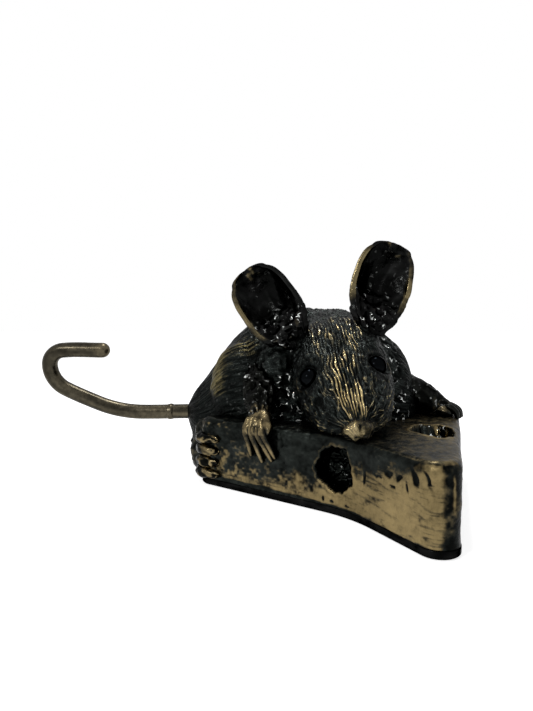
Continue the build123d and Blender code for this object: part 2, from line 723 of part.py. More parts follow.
NODES = {
    "cheese_wedge": [cheese_wedge()],
    "base_plate": [base_plate()],
    "base_screws": base_screws(),
    "chest_screws": chest_screws(),
    "body": [body()],
    "belly_plate": [belly_plate()],
    "head": [head()],
    "neck_dowel": dowels([neck_dowel_line()], NECK_DOWEL_RADIUS),
    "left_ear": [ear(1)],
    "right_ear": [ear(-1)],
    "left_eye": [eye(1)],
    "right_eye": [eye(-1)],
    "left_foreleg": [left_foreleg()],
    "right_foreleg": [right_foreleg()],
    "foreleg_dowels": dowels(foreleg_dowel_lines(), LIMB_DOWEL_RADIUS),
    "left_hind_foot": [left_hind_foot()],
    "right_hind_foot": [right_hind_foot()],
    "hind_foot_dowels": dowels(hind_foot_dowel_lines(), LIMB_DOWEL_RADIUS),
    "tail": [tail()],
    "tail_collar": [tail_collar()],
}

os.makedirs("parts", exist_ok=True)
for name, pieces in NODES.items():
    solids = [solid for piece in pieces for solid in piece.solids()]
    export_step(Compound(solids), f"parts/{name}.step")
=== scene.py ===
import bpy
import numpy as np
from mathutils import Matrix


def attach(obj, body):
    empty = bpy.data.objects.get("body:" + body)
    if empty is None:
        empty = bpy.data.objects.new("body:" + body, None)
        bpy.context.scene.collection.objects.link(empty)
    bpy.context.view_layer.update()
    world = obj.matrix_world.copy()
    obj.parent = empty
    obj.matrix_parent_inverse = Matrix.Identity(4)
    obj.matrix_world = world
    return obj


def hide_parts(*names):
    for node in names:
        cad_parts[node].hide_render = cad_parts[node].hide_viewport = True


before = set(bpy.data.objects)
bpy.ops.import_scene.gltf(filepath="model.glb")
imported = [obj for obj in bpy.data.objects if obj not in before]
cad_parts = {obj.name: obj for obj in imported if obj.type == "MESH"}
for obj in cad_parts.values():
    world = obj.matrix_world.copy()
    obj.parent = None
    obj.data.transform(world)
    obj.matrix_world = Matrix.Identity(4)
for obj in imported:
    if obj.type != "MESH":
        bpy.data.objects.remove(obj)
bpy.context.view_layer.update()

# Base plate. A thin cast plate that closes the wedge's foot, patinated black, held from below by three
# countersunk screws. Its edge is rounded over and a little uneven from filing.
def ease(value, low=0.0, high=1.0):
    """0 below low, 1 above high, and a smooth S between."""
    share = np.clip((value - low) / (high - low), 0, 1)
    return share * share * (3 - 2 * share)


def wander(x, y, seed, around=64):
    """Random heights from -1 to 1 on a lattice of unit cells, blended by smooth steps; y repeats after `around`
    cells."""
    lattice = np.random.default_rng(seed).uniform(-1, 1, (64, around))
    i, j = np.floor(x).astype(int), np.floor(y).astype(int)
    u, v = ease(x - i), ease(y - j)
    near = lattice[i % 64, j % around] * (1 - v) + lattice[i % 64, (j + 1) % around] * v
    far = lattice[(i + 1) % 64, j % around] * (1 - v) + lattice[(i + 1) % 64, (j + 1) % around] * v
    return near * (1 - u) + far * u


def skin(name, *shells):
    """A mesh of closed shells. A shell is rings of points in mm, joined in order, each end drawn in to its ring's
    middle, with marks: a number or vector for each point. Shells whose signed volume is negative are turned round."""
    points, faces, marks, first = [], [], {}, 0
    for rings, values in shells:
        count, around = rings.shape[:2]
        here = np.concatenate([rings.reshape(-1, 3), rings[:1].mean(1), rings[-1:].mean(1)])
        index = np.arange(count * around).reshape(count, around)
        beside = np.roll(index, -1, 1)
        quads = np.stack([index[:-1], beside[:-1], beside[1:], index[1:]], -1).reshape(-1, 4)
        low, high = np.full(around, count * around), np.full(around, count * around + 1)
        fans = np.concatenate([np.stack([beside[0], index[0], low], -1), np.stack([index[-1], beside[-1], high], -1)])
        middle = here - here.mean(0)
        triangles = np.concatenate([quads[:, [0, 1, 2]], quads[:, [0, 2, 3]], fans])
        a, b, c = middle[triangles[:, 0]], middle[triangles[:, 1]], middle[triangles[:, 2]]
        if (a * np.cross(b, c)).sum() < 0:
            quads, fans = quads[:, ::-1], fans[:, ::-1]
        points.append(here)
        faces.append((quads + first, fans + first))
        for mark, value in values.items():
            wide = value.shape[2:]
            value = np.concatenate([value.reshape(-1, *wide), value[:1].mean(1), value[-1:].mean(1)])
            marks.setdefault(mark, []).append(value)
        first += len(here)
    points = np.concatenate(points) / 1000
    quads = np.concatenate([quads for quads, fans in faces])
    fans = np.concatenate([fans for quads, fans in faces])
    corners = np.concatenate([quads.ravel(), fans.ravel()])
    starts = np.concatenate([np.arange(len(quads)) * 4, quads.size + np.arange(len(fans)) * 3])
    mesh = bpy.data.meshes.new(name)
    mesh.vertices.add(len(points))
    mesh.vertices.foreach_set("co", points.ravel())
    mesh.loops.add(len(corners))
    mesh.loops.foreach_set("vertex_index", corners.astype(np.int32))
    mesh.polygons.add(len(starts))
    mesh.polygons.foreach_set("loop_start", starts.astype(np.int32))
    mesh.update(calc_edges=True)
    mesh.shade_smooth()
    for mark, value in marks.items():
        value = np.concatenate(value)
        kind, key = ("FLOAT", "value") if value.ndim == 1 else ("FLOAT_VECTOR", "vector")
        mesh.attributes.new(mark, kind, "POINT").data.foreach_set(key, value.astype(np.float32).ravel())
    piece = bpy.data.objects.new(name, mesh)
    bpy.context.scene.collection.objects.link(piece)
    return piece


def wedge_plan(count):
    """The wedge's plan: straight runs between tip, bend, front and back corners, each corner an arc of its own
    radius. Gives points, outward normals and length along from the tip, closer together on the seen front."""
    corners = np.array([(-62.0, 19.52), (-7.52, -20.98), (11.54, -56.54), (41.0, 28.03)])
    radii = (5.0, 40.0, 5.5, 6.0)
    runs = []
    for corner, before, after, radius in zip(corners, np.roll(corners, 1, 0), np.roll(corners, -1, 0), radii):
        back, on = before - corner, after - corner
        back, on = back / np.hypot(*back), on / np.hypot(*on)
        half = np.arccos(back @ on) / 2
        middle = corner + (back + on) / np.hypot(*(back + on)) * radius / np.sin(half)
        start, end = corner + back * radius / np.tan(half), corner + on * radius / np.tan(half)
        first = np.arctan2(*(start - middle)[::-1])
        turn = (np.arctan2(*(end - middle)[::-1]) - first + np.pi) % (2 * np.pi) - np.pi
        angles = first + turn * np.linspace(0, 1, 60)
        runs.append(middle + radius * np.stack([np.cos(angles), np.sin(angles)], -1))
    dense = np.concatenate(runs + [runs[0][:1]])
    length = np.concatenate([[0], np.cumsum(np.hypot(*np.diff(dense, axis=0).T))])
    places = np.linspace(0, length[-1], 4000)
    weight = np.where(places < 112, 1.0, 0.3)
    share = np.cumsum(weight) / weight.sum()
    along = np.interp(np.arange(count) / count, share, places)
    step = 0.4
    def at(place):
        place = place % length[-1]
        return np.stack([np.interp(place, length, dense[:, 0]), np.interp(place, length, dense[:, 1])], -1)
    tangent = at(along + step) - at(along - step)
    tangent /= np.hypot(*tangent.T)[:, None]
    return at(along), np.stack([tangent[:, 1], -tangent[:, 0]], -1), along


def base_skin():
    """Rings from under the plate, round its lower edge by a quarter circle, up its side and back over its top,
    each ring the wedge's plan moved out by the round's sine and a slow ripple."""
    thickness, edge = 2.4, 0.9
    plan, out, along = wedge_plan(600)
    middle = np.array([10.0, 5.0])
    turn = np.linspace(0, np.pi / 2, 7)
    inset = np.concatenate([[edge] * 3, edge * (1 - np.sin(turn)), [0] * 6, [0.25, 0.4, 0.4, 0.4]])
    height = np.concatenate(
        [[0] * 3, edge * (1 - np.cos(turn)), np.linspace(edge, thickness - 0.2, 7)[1:], [thickness] * 4])
    drawn = np.concatenate([[0.03, 0.5, 0.9], np.ones(7 + 6 + 2), [0.6, 0.05]])
    ripple = 0.22 * wander(along / 7, along * 0, 3) + 0.1 * wander(along / 2, along * 0, 4)
    side = ease(height, 0.1, 0.8)[:, None] * ripple
    flat = plan + (side - inset[:, None])[..., None] * out
    flat = middle + (flat - middle) * drawn[:, None, None]
    level = np.broadcast_to(height[:, None], side.shape)
    rubbed = ease(level + 0.5 * wander(along / 5, along * 0, 5), 1.9, 2.7) * 0.2
    raised = 0.3 + 0.3 * wander(along / 3, level, 6)
    marks = {"rubbed": rubbed, "raised": raised, "gloss": 0 * level + 0.5}
    return np.concatenate([flat, level[..., None]], -1), marks


def node(tree, kind, inputs={}, **settings):
    """A shader node with its settings, and its inputs set to values or linked to other nodes' outputs."""
    made = tree.nodes.new(kind)
    for key, value in settings.items():
        setattr(made, key, value)
    for key, value in inputs.items():
        if isinstance(value, bpy.types.NodeSocket):
            tree.links.new(value, made.inputs[key])
        else:
            made.inputs[key].default_value = value
    return made


def worn_bronze_group():
    """Dark patina, black in the hollows and greyer where Raised is high, rubbed through to bare metal where Rubbed is
    high, the border frayed by grain noise. Raised carries the patina's own tone and painted light: a painted sheen on
    raised fur and painted shade in its hollows. Where Glint is high, short pale curls along noise contours are painted
    glints."""
    group = bpy.data.node_groups.new("worn_bronze", "ShaderNodeTree")
    for name, kind in (
        ("Rubbed", "Float"), ("Raised", "Float"), ("Gloss", "Float"), ("Glint", "Float"), ("Patina", "Color"),
        ("Metal", "Color"), ("Grain", "Float"), ("Fray", "Float")
    ):
        group.interface.new_socket(name, in_out="INPUT", socket_type="NodeSocket" + kind)
    for name, kind in (("Colour", "Color"), ("Roughness", "Float"), ("Height", "Float")):
        group.interface.new_socket(name, in_out="OUTPUT", socket_type="NodeSocket" + kind)
    given = group.nodes.new("NodeGroupInput").outputs
    place = node(group, "ShaderNodeTexCoord").outputs["Object"]
    grain = node(
        group, "ShaderNodeTexNoise", {"Vector": place, "Scale": given["Grain"], "Detail": 5.0, "Roughness": 0.62})
    wide = node(group, "ShaderNodeTexNoise", {"Vector": place, "Scale": 90.0, "Detail": 3.0})
    centred = node(group, "ShaderNodeMath", {0: grain.outputs["Fac"], 1: 0.5}, operation="SUBTRACT")
    frayed = node(
        group, "ShaderNodeMath", {0: centred.outputs[0], 1: given["Fray"], 2: given["Rubbed"]},
        operation="MULTIPLY_ADD")
    bare = node(
        group, "ShaderNodeMapRange", {"Value": frayed.outputs[0], "From Min": 0.15, "From Max": 0.85},
        interpolation_type="SMOOTHSTEP")
    # Raised scales the patina's brightness: partly its own tone, partly painted sheen on raised fur and painted shade
    # in hollows.
    lifted = node(group, "ShaderNodeMapRange", {"Value": given["Raised"], "To Min": 0.25, "To Max": 2.0})
    mixed = node(group, "ShaderNodeMath", {0: grain.outputs["Fac"], 1: wide.outputs["Fac"]}, operation="ADD")
    gleam = node(
        group, "ShaderNodeMapRange",
        {"Value": mixed.outputs[0], "From Min": 0.7, "From Max": 1.3, "To Min": 0.6, "To Max": 1.3})
    shade = node(group, "ShaderNodeMath", {0: lifted.outputs[0], 1: gleam.outputs[0]}, operation="MULTIPLY")
    dark = node(group, "ShaderNodeVectorMath", {0: given["Patina"], "Scale": shade.outputs[0]}, operation="SCALE")
    bright = node(group, "ShaderNodeVectorMath", {0: given["Metal"], "Scale": gleam.outputs[0]}, operation="SCALE")
    colour = node(
        group, "ShaderNodeMix", {0: bare.outputs[0], 6: dark.outputs[0], 7: bright.outputs[0]}, data_type="RGBA")
    # Pale curls along the noise's contours in scattered patches, where Glint is high: painted glints.
    curl = node(group, "ShaderNodeTexNoise", {"Vector": place, "Scale": 420.0, "Detail": 1.5})
    from_line = node(group, "ShaderNodeMath", {0: curl.outputs["Fac"], 1: 0.5}, operation="SUBTRACT")
    off_line = node(group, "ShaderNodeMath", {0: from_line.outputs[0]}, operation="ABSOLUTE")
    line = node(
        group, "ShaderNodeMapRange",
        {"Value": off_line.outputs[0], "From Min": 0.008, "From Max": 0.04, "To Min": 1.0, "To Max": 0.0})
    aside = node(group, "ShaderNodeMapping", {"Vector": place, "Location": (0.3, 0.1, 0.2)})
    patch = node(group, "ShaderNodeTexNoise", {"Vector": aside.outputs[0], "Scale": 520.0, "Detail": 1.0})
    few = node(group, "ShaderNodeMapRange", {"Value": patch.outputs["Fac"], "From Min": 0.54, "From Max": 0.66})
    glint_curls = node(group, "ShaderNodeMath", {0: line.outputs[0], 1: few.outputs[0]}, operation="MULTIPLY")
    glint = node(
        group, "ShaderNodeMath", {0: glint_curls.outputs[0], 1: given["Glint"]}, operation="MULTIPLY", use_clamp=True)
    colour = node(
        group, "ShaderNodeMix", {0: glint.outputs[0], 6: colour.outputs[2], 7: (0.6, 0.62, 0.6, 1)}, data_type="RGBA")
    worn = node(
        group, "ShaderNodeMapRange",
        {"Value": grain.outputs["Fac"], "From Min": 0.3, "From Max": 0.7, "To Min": 0.26, "To Max": 0.48})
    waxed = node(group, "ShaderNodeMapRange", {"Value": given["Gloss"], "To Min": 1.0, "To Max": 0.4})
    rough = node(group, "ShaderNodeMath", {0: worn.outputs[0], 1: waxed.outputs[0]}, operation="MULTIPLY")
    ends = group.nodes.new("NodeGroupOutput").inputs
    for name, socket in (
        ("Colour", colour.outputs[2]), ("Roughness", rough.outputs[0]), ("Height", grain.outputs["Fac"])
    ):
        group.links.new(socket, ends[name])
    return group


worn_bronze = worn_bronze_group()


def bronze(name, patina, metal, grain=900.0, fray=0.5, pitted=0.00012, sheen=0.4):
    """A bronze finish: the worn bronze group on the marks `rubbed`, `raised`, `gloss` and `glint`, its grain as a
    bump."""
    finish = bpy.data.materials.new(name)
    finish.use_nodes = True
    tree = finish.node_tree
    shader = tree.nodes["Principled BSDF"]
    worn = node(tree, "ShaderNodeGroup", node_tree=worn_bronze)
    for mark, socket in (("rubbed", "Rubbed"), ("raised", "Raised"), ("gloss", "Gloss"), ("glint", "Glint")):
        tree.links.new(node(tree, "ShaderNodeAttribute", attribute_name=mark).outputs["Fac"], worn.inputs[socket])
    worn.inputs["Patina"].default_value = (*patina, 1)
    worn.inputs["Metal"].default_value = (*metal, 1)
    worn.inputs["Grain"].default_value = grain
    worn.inputs["Fray"].default_value = fray
    bump = node(tree, "ShaderNodeBump", {"Height": worn.outputs["Height"], "Strength": 0.6, "Distance": pitted})
    tree.links.new(worn.outputs["Colour"], shader.inputs["Base Color"])
    tree.links.new(worn.outputs["Roughness"], shader.inputs["Roughness"])
    tree.links.new(bump.outputs["Normal"], shader.inputs["Normal"])
    shader.inputs["Metallic"].default_value = 1.0
    shader.inputs["Specular Tint"].default_value = (sheen, sheen, sheen, 1)
    return finish


base = skin("base_edge", base_skin())
base_black = bronze("black_base", (0.006, 0.006, 0.006), (0.1, 0.085, 0.055), grain=500.0)
base.data.materials.append(base_black)
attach(base, "root")
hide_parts("base_plate")

# Screws and dowels. Plain steel fasteners inside the casting: three countersunk screws, two cap screws and the
# pins between the castings. Turned on a lathe, so fine rings run round them.
def turned_steel():
    """Grey steel with fine turning marks: thin bands of noise across the height."""
    finish = bpy.data.materials.new("turned_steel")
    finish.use_nodes = True
    tree = finish.node_tree
    shader = tree.nodes["Principled BSDF"]
    place = node(tree, "ShaderNodeTexCoord").outputs["Object"]
    drawn = node(tree, "ShaderNodeMapping", {"Vector": place, "Scale": (200.0, 200.0, 9000.0)})
    marks = node(tree, "ShaderNodeTexNoise", {"Vector": drawn.outputs[0], "Scale": 1.0, "Detail": 2.0})
    rough = node(tree, "ShaderNodeMapRange", {"Value": marks.outputs["Fac"], "To Min": 0.25, "To Max": 0.5})
    bump = node(tree, "ShaderNodeBump", {"Height": marks.outputs["Fac"], "Strength": 0.3, "Distance": 0.00005})
    tree.links.new(rough.outputs[0], shader.inputs["Roughness"])
    tree.links.new(bump.outputs["Normal"], shader.inputs["Normal"])
    shader.inputs["Base Color"].default_value = (0.5, 0.5, 0.51, 1)
    shader.inputs["Metallic"].default_value = 1.0
    return finish


steel = turned_steel()
for name in ("base_screws", "chest_screws", "neck_dowel", "foreleg_dowels", "hind_foot_dowels"):
    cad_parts[name].data.materials.clear()
    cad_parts[name].data.materials.append(steel)

# Cheese wedge. A solid cast wedge with eye holes in its front, top and rind, its brass front dressed with a file
# and dark patina left in the upper part, the holes and the rind. It stands on the base plate, screwed from below.
def wedge_skin():
    """Rings of the wedge's plan: up its side, round the top edge by a quarter circle, then drawn in over the top.
    Eye holes push the skin in by the depth of a blunt bowl, 1 less the fourth power of the distance from the middle
    in hole radii, square-rooted; file marks, dents and casting lumps are noise of several sizes."""
    foot, top, edge = 2.4, 23.0, 2.4
    plan, out, along = wedge_plan(880)
    middle = np.array([10.0, 5.0])
    turn = np.linspace(0, np.pi / 2, 11)[1:]
    side_rows, top_rows = 56, 43
    inset = np.concatenate([np.zeros(3 + side_rows), edge * (1 - np.cos(turn)), np.full(top_rows, edge)])
    height = np.concatenate([
        [foot] * 3, np.linspace(foot, top - edge, side_rows), top - edge + edge * np.sin(turn), np.full(top_rows, top)])
    drawn = np.concatenate([
        [0.03, 0.5, 0.9], np.ones(side_rows + 10), 1 - 0.97 * np.linspace(0, 1, top_rows + 1)[1:] ** 1.2])
    up = np.concatenate([np.zeros(3 + side_rows), np.sin(turn), np.ones(top_rows)])
    flat = plan - inset[:, None, None] * out
    flat = middle + (flat - middle) * drawn[:, None, None]
    level = np.broadcast_to(height[:, None], flat.shape[:2])
    rings = np.concatenate([flat, level[..., None]], -1)
    sideways = np.sqrt(1 - up[:, None] ** 2)[..., None] * out
    facing = np.concatenate([sideways, np.broadcast_to(up[:, None, None], (*level.shape, 1))], -1)
    run = np.broadcast_to(along, level.shape)
    is_side = (np.arange(len(height)) > 2)[:, None] * ease(1 - up, 0.0, 0.3)[:, None]
    is_top = ease(up, 0.7, 1.0)[:, None]
    x, y = rings[..., 0], rings[..., 1]
    # Eye holes: place across and up the face, radii, depth, the face they are in, a number for their ragged edge
    rind_run = x * 0.329 + y * 0.944
    holes = (
        (run - 62.2, level - 13.6, 6.3, 6.5, 6.0, is_side * (run < 95), 0.0),
        (x - 19.9, y + 9.5, 6.3, 9.4, 5.0, is_top, 1.3),
        (rind_run + 17.4, level - 14.3, 3.4, 3.4, 3.0, is_side * (run > 107), 2.1),
    )
    deep, black, lip, rough = (np.zeros(level.shape) for _ in range(4))
    for across, upward, wide, high, depth, where, phase in holes:
        across, upward = across / wide, upward / high
        angle = np.arctan2(upward, across)
        ragged = 0.05 * np.sin(3 * angle + 1 + phase) + 0.05 * np.sin(5 * angle + phase)
        ragged += 0.03 * np.sin(9 * angle + 2) + 0.02 * np.sin(17 * angle)
        far = np.hypot(across, upward) * (1 + ragged) + (1 - where) * 9
        bowl = np.sqrt(np.clip(1 - far ** 4, 0, 1))
        lumps = wander(across * 4 + 9, upward * 4 + 9, 21) + 0.8 * wander(across * 9 + 30, upward * 9 + 30, 22)
        deep += bowl * (depth + 0.6 * lumps)
        rough += lumps * (far < 1)
        black = np.maximum(black, 1 - ease(far, 0.97, 1.05))
        lip += np.exp(-((far - 1.1) / 0.09) ** 2)
    # Casting lumps, file marks and dents
    broad = wander(run / 11, level / 7, 31) * (1 - is_top) + wander(x / 12 + 20, y / 12 + 20, 36) * is_top
    lumpy = wander(run / 2.9, level / 2.1, 32) * (1 - is_top) + wander(x / 2.6 + 40, y / 2.2 + 40, 37) * is_top
    fine = wander(run / 1.0, level / 0.7, 33) * (1 - is_top) + wander(x / 0.9 + 90, y / 0.9 + 90, 38) * is_top
    left = 1 - ease(run, 50, 58)
    dents = ease(wander(run / 2.0, level / 1.4, 34), 0.55, 0.8)
    dents = dents * ease(wander(run / 8, level / 6, 35), 0.1, 0.5) * is_side
    dents *= 0.6 * left + 0.4 * ease(level, 12, 15)
    # Pits: place along and up the face, half width, half height, slant
    pits = (
        (73.2, 13.5, 0.5, 1.7, 0.1), (82.7, 17.0, 1.3, 0.7, 0.2), (86.9, 16.9, 0.9, 0.8, 0.5),
        (92.1, 18.2, 1.0, 2.2, -0.5), (95.9, 18.9, 0.6, 1.8, -0.5), (78.4, 15.4, 1.6, 0.3, 0.0),
        (84.0, 14.2, 1.2, 0.3, 0.3), (89.5, 15.2, 0.4, 1.2, -0.3), (66.2, 3.6, 0.8, 0.4, 0.0),
        (60.6, 3.9, 0.9, 0.4, 0.1), (57.8, 4.2, 0.4, 0.8, 0.0),
    )
    for place, height_at, wide, high, slant in pits:
        across, upward = run - place - 0.5 * lumpy, level - height_at - 0.4 * fine
        far = np.hypot((across - slant * upward) / wide, upward / high)
        dents = np.maximum(dents, (1 - ease(far, 0.5, 1.4)) * is_side)
    relief = 0.2 * broad + (0.06 + 0.26 * left) * lumpy + (0.03 + 0.1 * left) * fine - 0.3 * dents + 0.25 * lip
    relief = relief * np.where(is_top > 0.5, 0.9, 1.0)
    downward = is_top[..., None] * np.ones((*level.shape, 1))
    inward = np.concatenate([np.where(is_side[..., None] > 0.5, out, 0), downward], -1)
    still = (np.arange(len(height)) < 4)[:, None]
    rings = rings + np.where(still, 0, relief * (1 - black))[..., None] * facing - deep[..., None] * inward
    # Where the brass shows: the front right of the hole, a band along the foot left of it, least on top
    smear = wander(run / 7, level / 1.6, 46)
    frayed = 1.6 * wander(run / 6, level / 4, 41) + 1.3 * wander(run / 2.2, level / 1.6, 42)
    frayed = frayed + 0.9 * fine + 1.2 * smear
    brow = np.interp(
        run, (0, 16, 49, 55, 66, 69, 75, 80, 90, 94, 97), (7, 5.0, 5.2, 6.4, 8, 14.5, 15.5, 17.5, 19.3, 21.5, 25))
    soft = np.interp(run, (50, 70), (2.4, 3.2))
    front = 1 - ease(level + frayed, brow - soft, brow + soft)
    drips = wander(run / 1.6, level / 4.5, 45)
    murk = ease(run, 24, 36) * (1 - ease(run, 69, 74)) * ease(level, 8, 12)
    mottle = 0.27 + 0.22 * drips + 0.2 * wander(run / 3.4, level / 2.6, 44) + 0.34 * fine + 0.12 * smear
    mottle = (mottle - 0.03 * (level - 8)) * (1 - 0.62 * murk)
    corner = 1 - ease(run, 14, 26)
    # Brass along the rounded top edge near the tip: partly a rubbed edge, partly a painted highlight.
    crest = 0.4 * corner * np.exp(-(((level - 21.3) / 1.0) ** 2)) * ease(lumpy, -0.6, 0.4)
    mottle += 0.14 * corner * (1 + drips) + crest
    rind = ease(run + 0.3 * frayed, 98.8, 100.8)
    scuff = 1 - 2.2 * abs(wander(run / 7, level / 0.9 + 0.08 * run, 47))
    polish = 0.8 + 0.1 * lumpy + 0.16 * smear + 0.1 * fine - 0.34 * ease(scuff + 0.5 * broad + 0.2 * fine, 0.5, 1.0)
    # Below a height falling from 3.7 mm near the tip to 2.2 mm the face keeps its dark patina, so the dark band at the
    # foot reads thicker.
    dark_below = np.interp(run, (20, 45, 80), (3.7, 3.1, 2.2))
    rubbed = np.maximum(front * polish, mottle) * (1 - rind) * ease(level + 0.25 * lumpy, dark_below, dark_below + 0.7)
    rubbed += rind * is_side * (0.17 + 0.18 * broad + 0.12 * lumpy + 0.12 * fine) * ease(level, 3, 6)
    # A thin brass line down the rind just past the corner: a painted highlight.
    rubbed += 0.5 * np.exp(-(((run - 102.6) / 0.5) ** 2)) * ease(level, 10, 14) * (1 - ease(level, 19, 21))
    warm = ease(x - 0.35 * y, 0, 22)
    flat_top = 0.16 + 0.24 * warm + (0.1 + 0.15 * warm) * (0.4 * broad + 0.6 * lumpy + 0.6 * fine)
    rubbed = np.where(up[:, None] > 0.75, flat_top, rubbed)
    rubbed = (np.clip(rubbed - 0.9 * dents, 0, 1) + 0.3 * lip) * (1 - black)
    # Brass on the top hole's far right wall is a painted reflection; pale curls in the holes, most in that hole's right
    # half, are painted glints.
    rubbed += 0.9 * black * is_top * ease(x, 17, 21) * ease(rough, 0.0, 0.7)
    raised = (0.42 + 0.25 * lumpy + 0.25 * fine + 0.15 * broad) * (1 - black) + 0.35 * ease(rough, 0, 1.2) * black
    raised = np.clip(raised + 0.25 * is_top * warm - 0.3 * rind * (1 - is_top) - 0.4 * dents, 0, 1)
    glint = black * (0.25 + 12 * is_top * ease(x, 17, 21)) * ease(rough, -0.8, 0.3)
    return rings, {"rubbed": np.clip(rubbed, 0, 1), "raised": raised, "gloss": 0.8 * black, "glint": glint}


def cheese_finish():
    """Muted brass under broken dark patina, with long thin file scratches laid along the wedge and black holes."""
    finish = bronze(
        "filed_brass", (0.0105, 0.0122, 0.011), (0.168, 0.126, 0.059), grain=700.0, fray=0.5, pitted=0.0002, sheen=0.6)
    tree = finish.node_tree
    shader = tree.nodes["Principled BSDF"]
    place = node(tree, "ShaderNodeTexCoord").outputs["Object"]
    laid = node(tree, "ShaderNodeMapping", {"Vector": place, "Scale": (130.0, 130.0, 2200.0)})
    scratch = node(
        tree, "ShaderNodeTexNoise", {"Vector": laid.outputs[0], "Scale": 1.0, "Detail": 4.0, "Roughness": 0.7})
    grooves = node(tree, "ShaderNodeBump", {"Height": scratch.outputs["Fac"], "Strength": 0.5, "Distance": 0.00012})
    tree.links.new(shader.inputs["Normal"].links[0].from_socket, grooves.inputs["Normal"])
    tree.links.new(grooves.outputs["Normal"], shader.inputs["Normal"])
    return finish


wedge = skin("cheese", wedge_skin())
wedge.data.materials.append(cheese_finish())
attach(wedge, "root")
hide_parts("cheese_wedge")

# Body. The hollow cast trunk of the crouching mouse, modelled fur over rump, haunch and shoulder, patinated black
# and rubbed to brass on the haunch. It stands behind the wedge with its chest on it, held by two cap screws.
def glide(table, at):
    """Smooth curves through a table's rows: cubic pieces whose slopes come from each row's two neighbours."""
    table = np.array(table, float)
    knots, values = table[:, 0], table[:, 1:]
    slopes = np.gradient(values, knots, axis=0)
    k = np.clip(np.searchsorted(knots, at, side="right") - 1, 0, len(knots) - 2)
    wide = (knots[k + 1] - knots[k])[..., None]
    t = (at - knots[k])[..., None] / wide
    ends = (1 + 2 * t) * (1 - t) ** 2 * values[k] + t * t * (3 - 2 * t) * values[k + 1]
    return ends + wide * t * (1 - t) * ((1 - t) * slopes[k] - t * slopes[k + 1])


def outward(rings):
    """Unit normals of rings: the cross product of the two directions, turned away from each ring's middle."""
    normal = np.cross(np.gradient(rings, axis=0), np.roll(rings, -1, 1) - np.roll(rings, 1, 1))
    normal /= np.linalg.norm(normal, axis=-1, keepdims=True) + 1e-9
    return normal * np.sign(((rings - rings.mean(1, keepdims=True)) * normal).sum())


def swollen(points, normal, middle, radii):
    """How far points inside an ellipsoid must move along their normals to reach its surface, and 0 for those
    outside."""
    p, n = (points - middle) / radii, normal / radii
    a, b, c = (n * n).sum(-1), (p * n).sum(-1), (p * p).sum(-1) - 1
    return np.where(c < 0, (np.sqrt(np.maximum(b * b - a * c, 0)) - b) / a, 0)


def strokes(along, across, reach, seed, around=64):
    """Combed strokes: the way across is cut into strands one unit wide, each a rounded ridge, 0 to 1 across it, and a
    strength, -1 to 1, that comes and goes along the strand by noise of its own."""
    strand = np.floor(across)
    return np.sin(np.pi * (across - strand)), wander(along / reach + 0.37 * strand, strand, seed, around)


def circle(count):
    """The angles of a full turn in even steps."""
    return np.linspace(0, 2 * np.pi, count, endpoint=False)


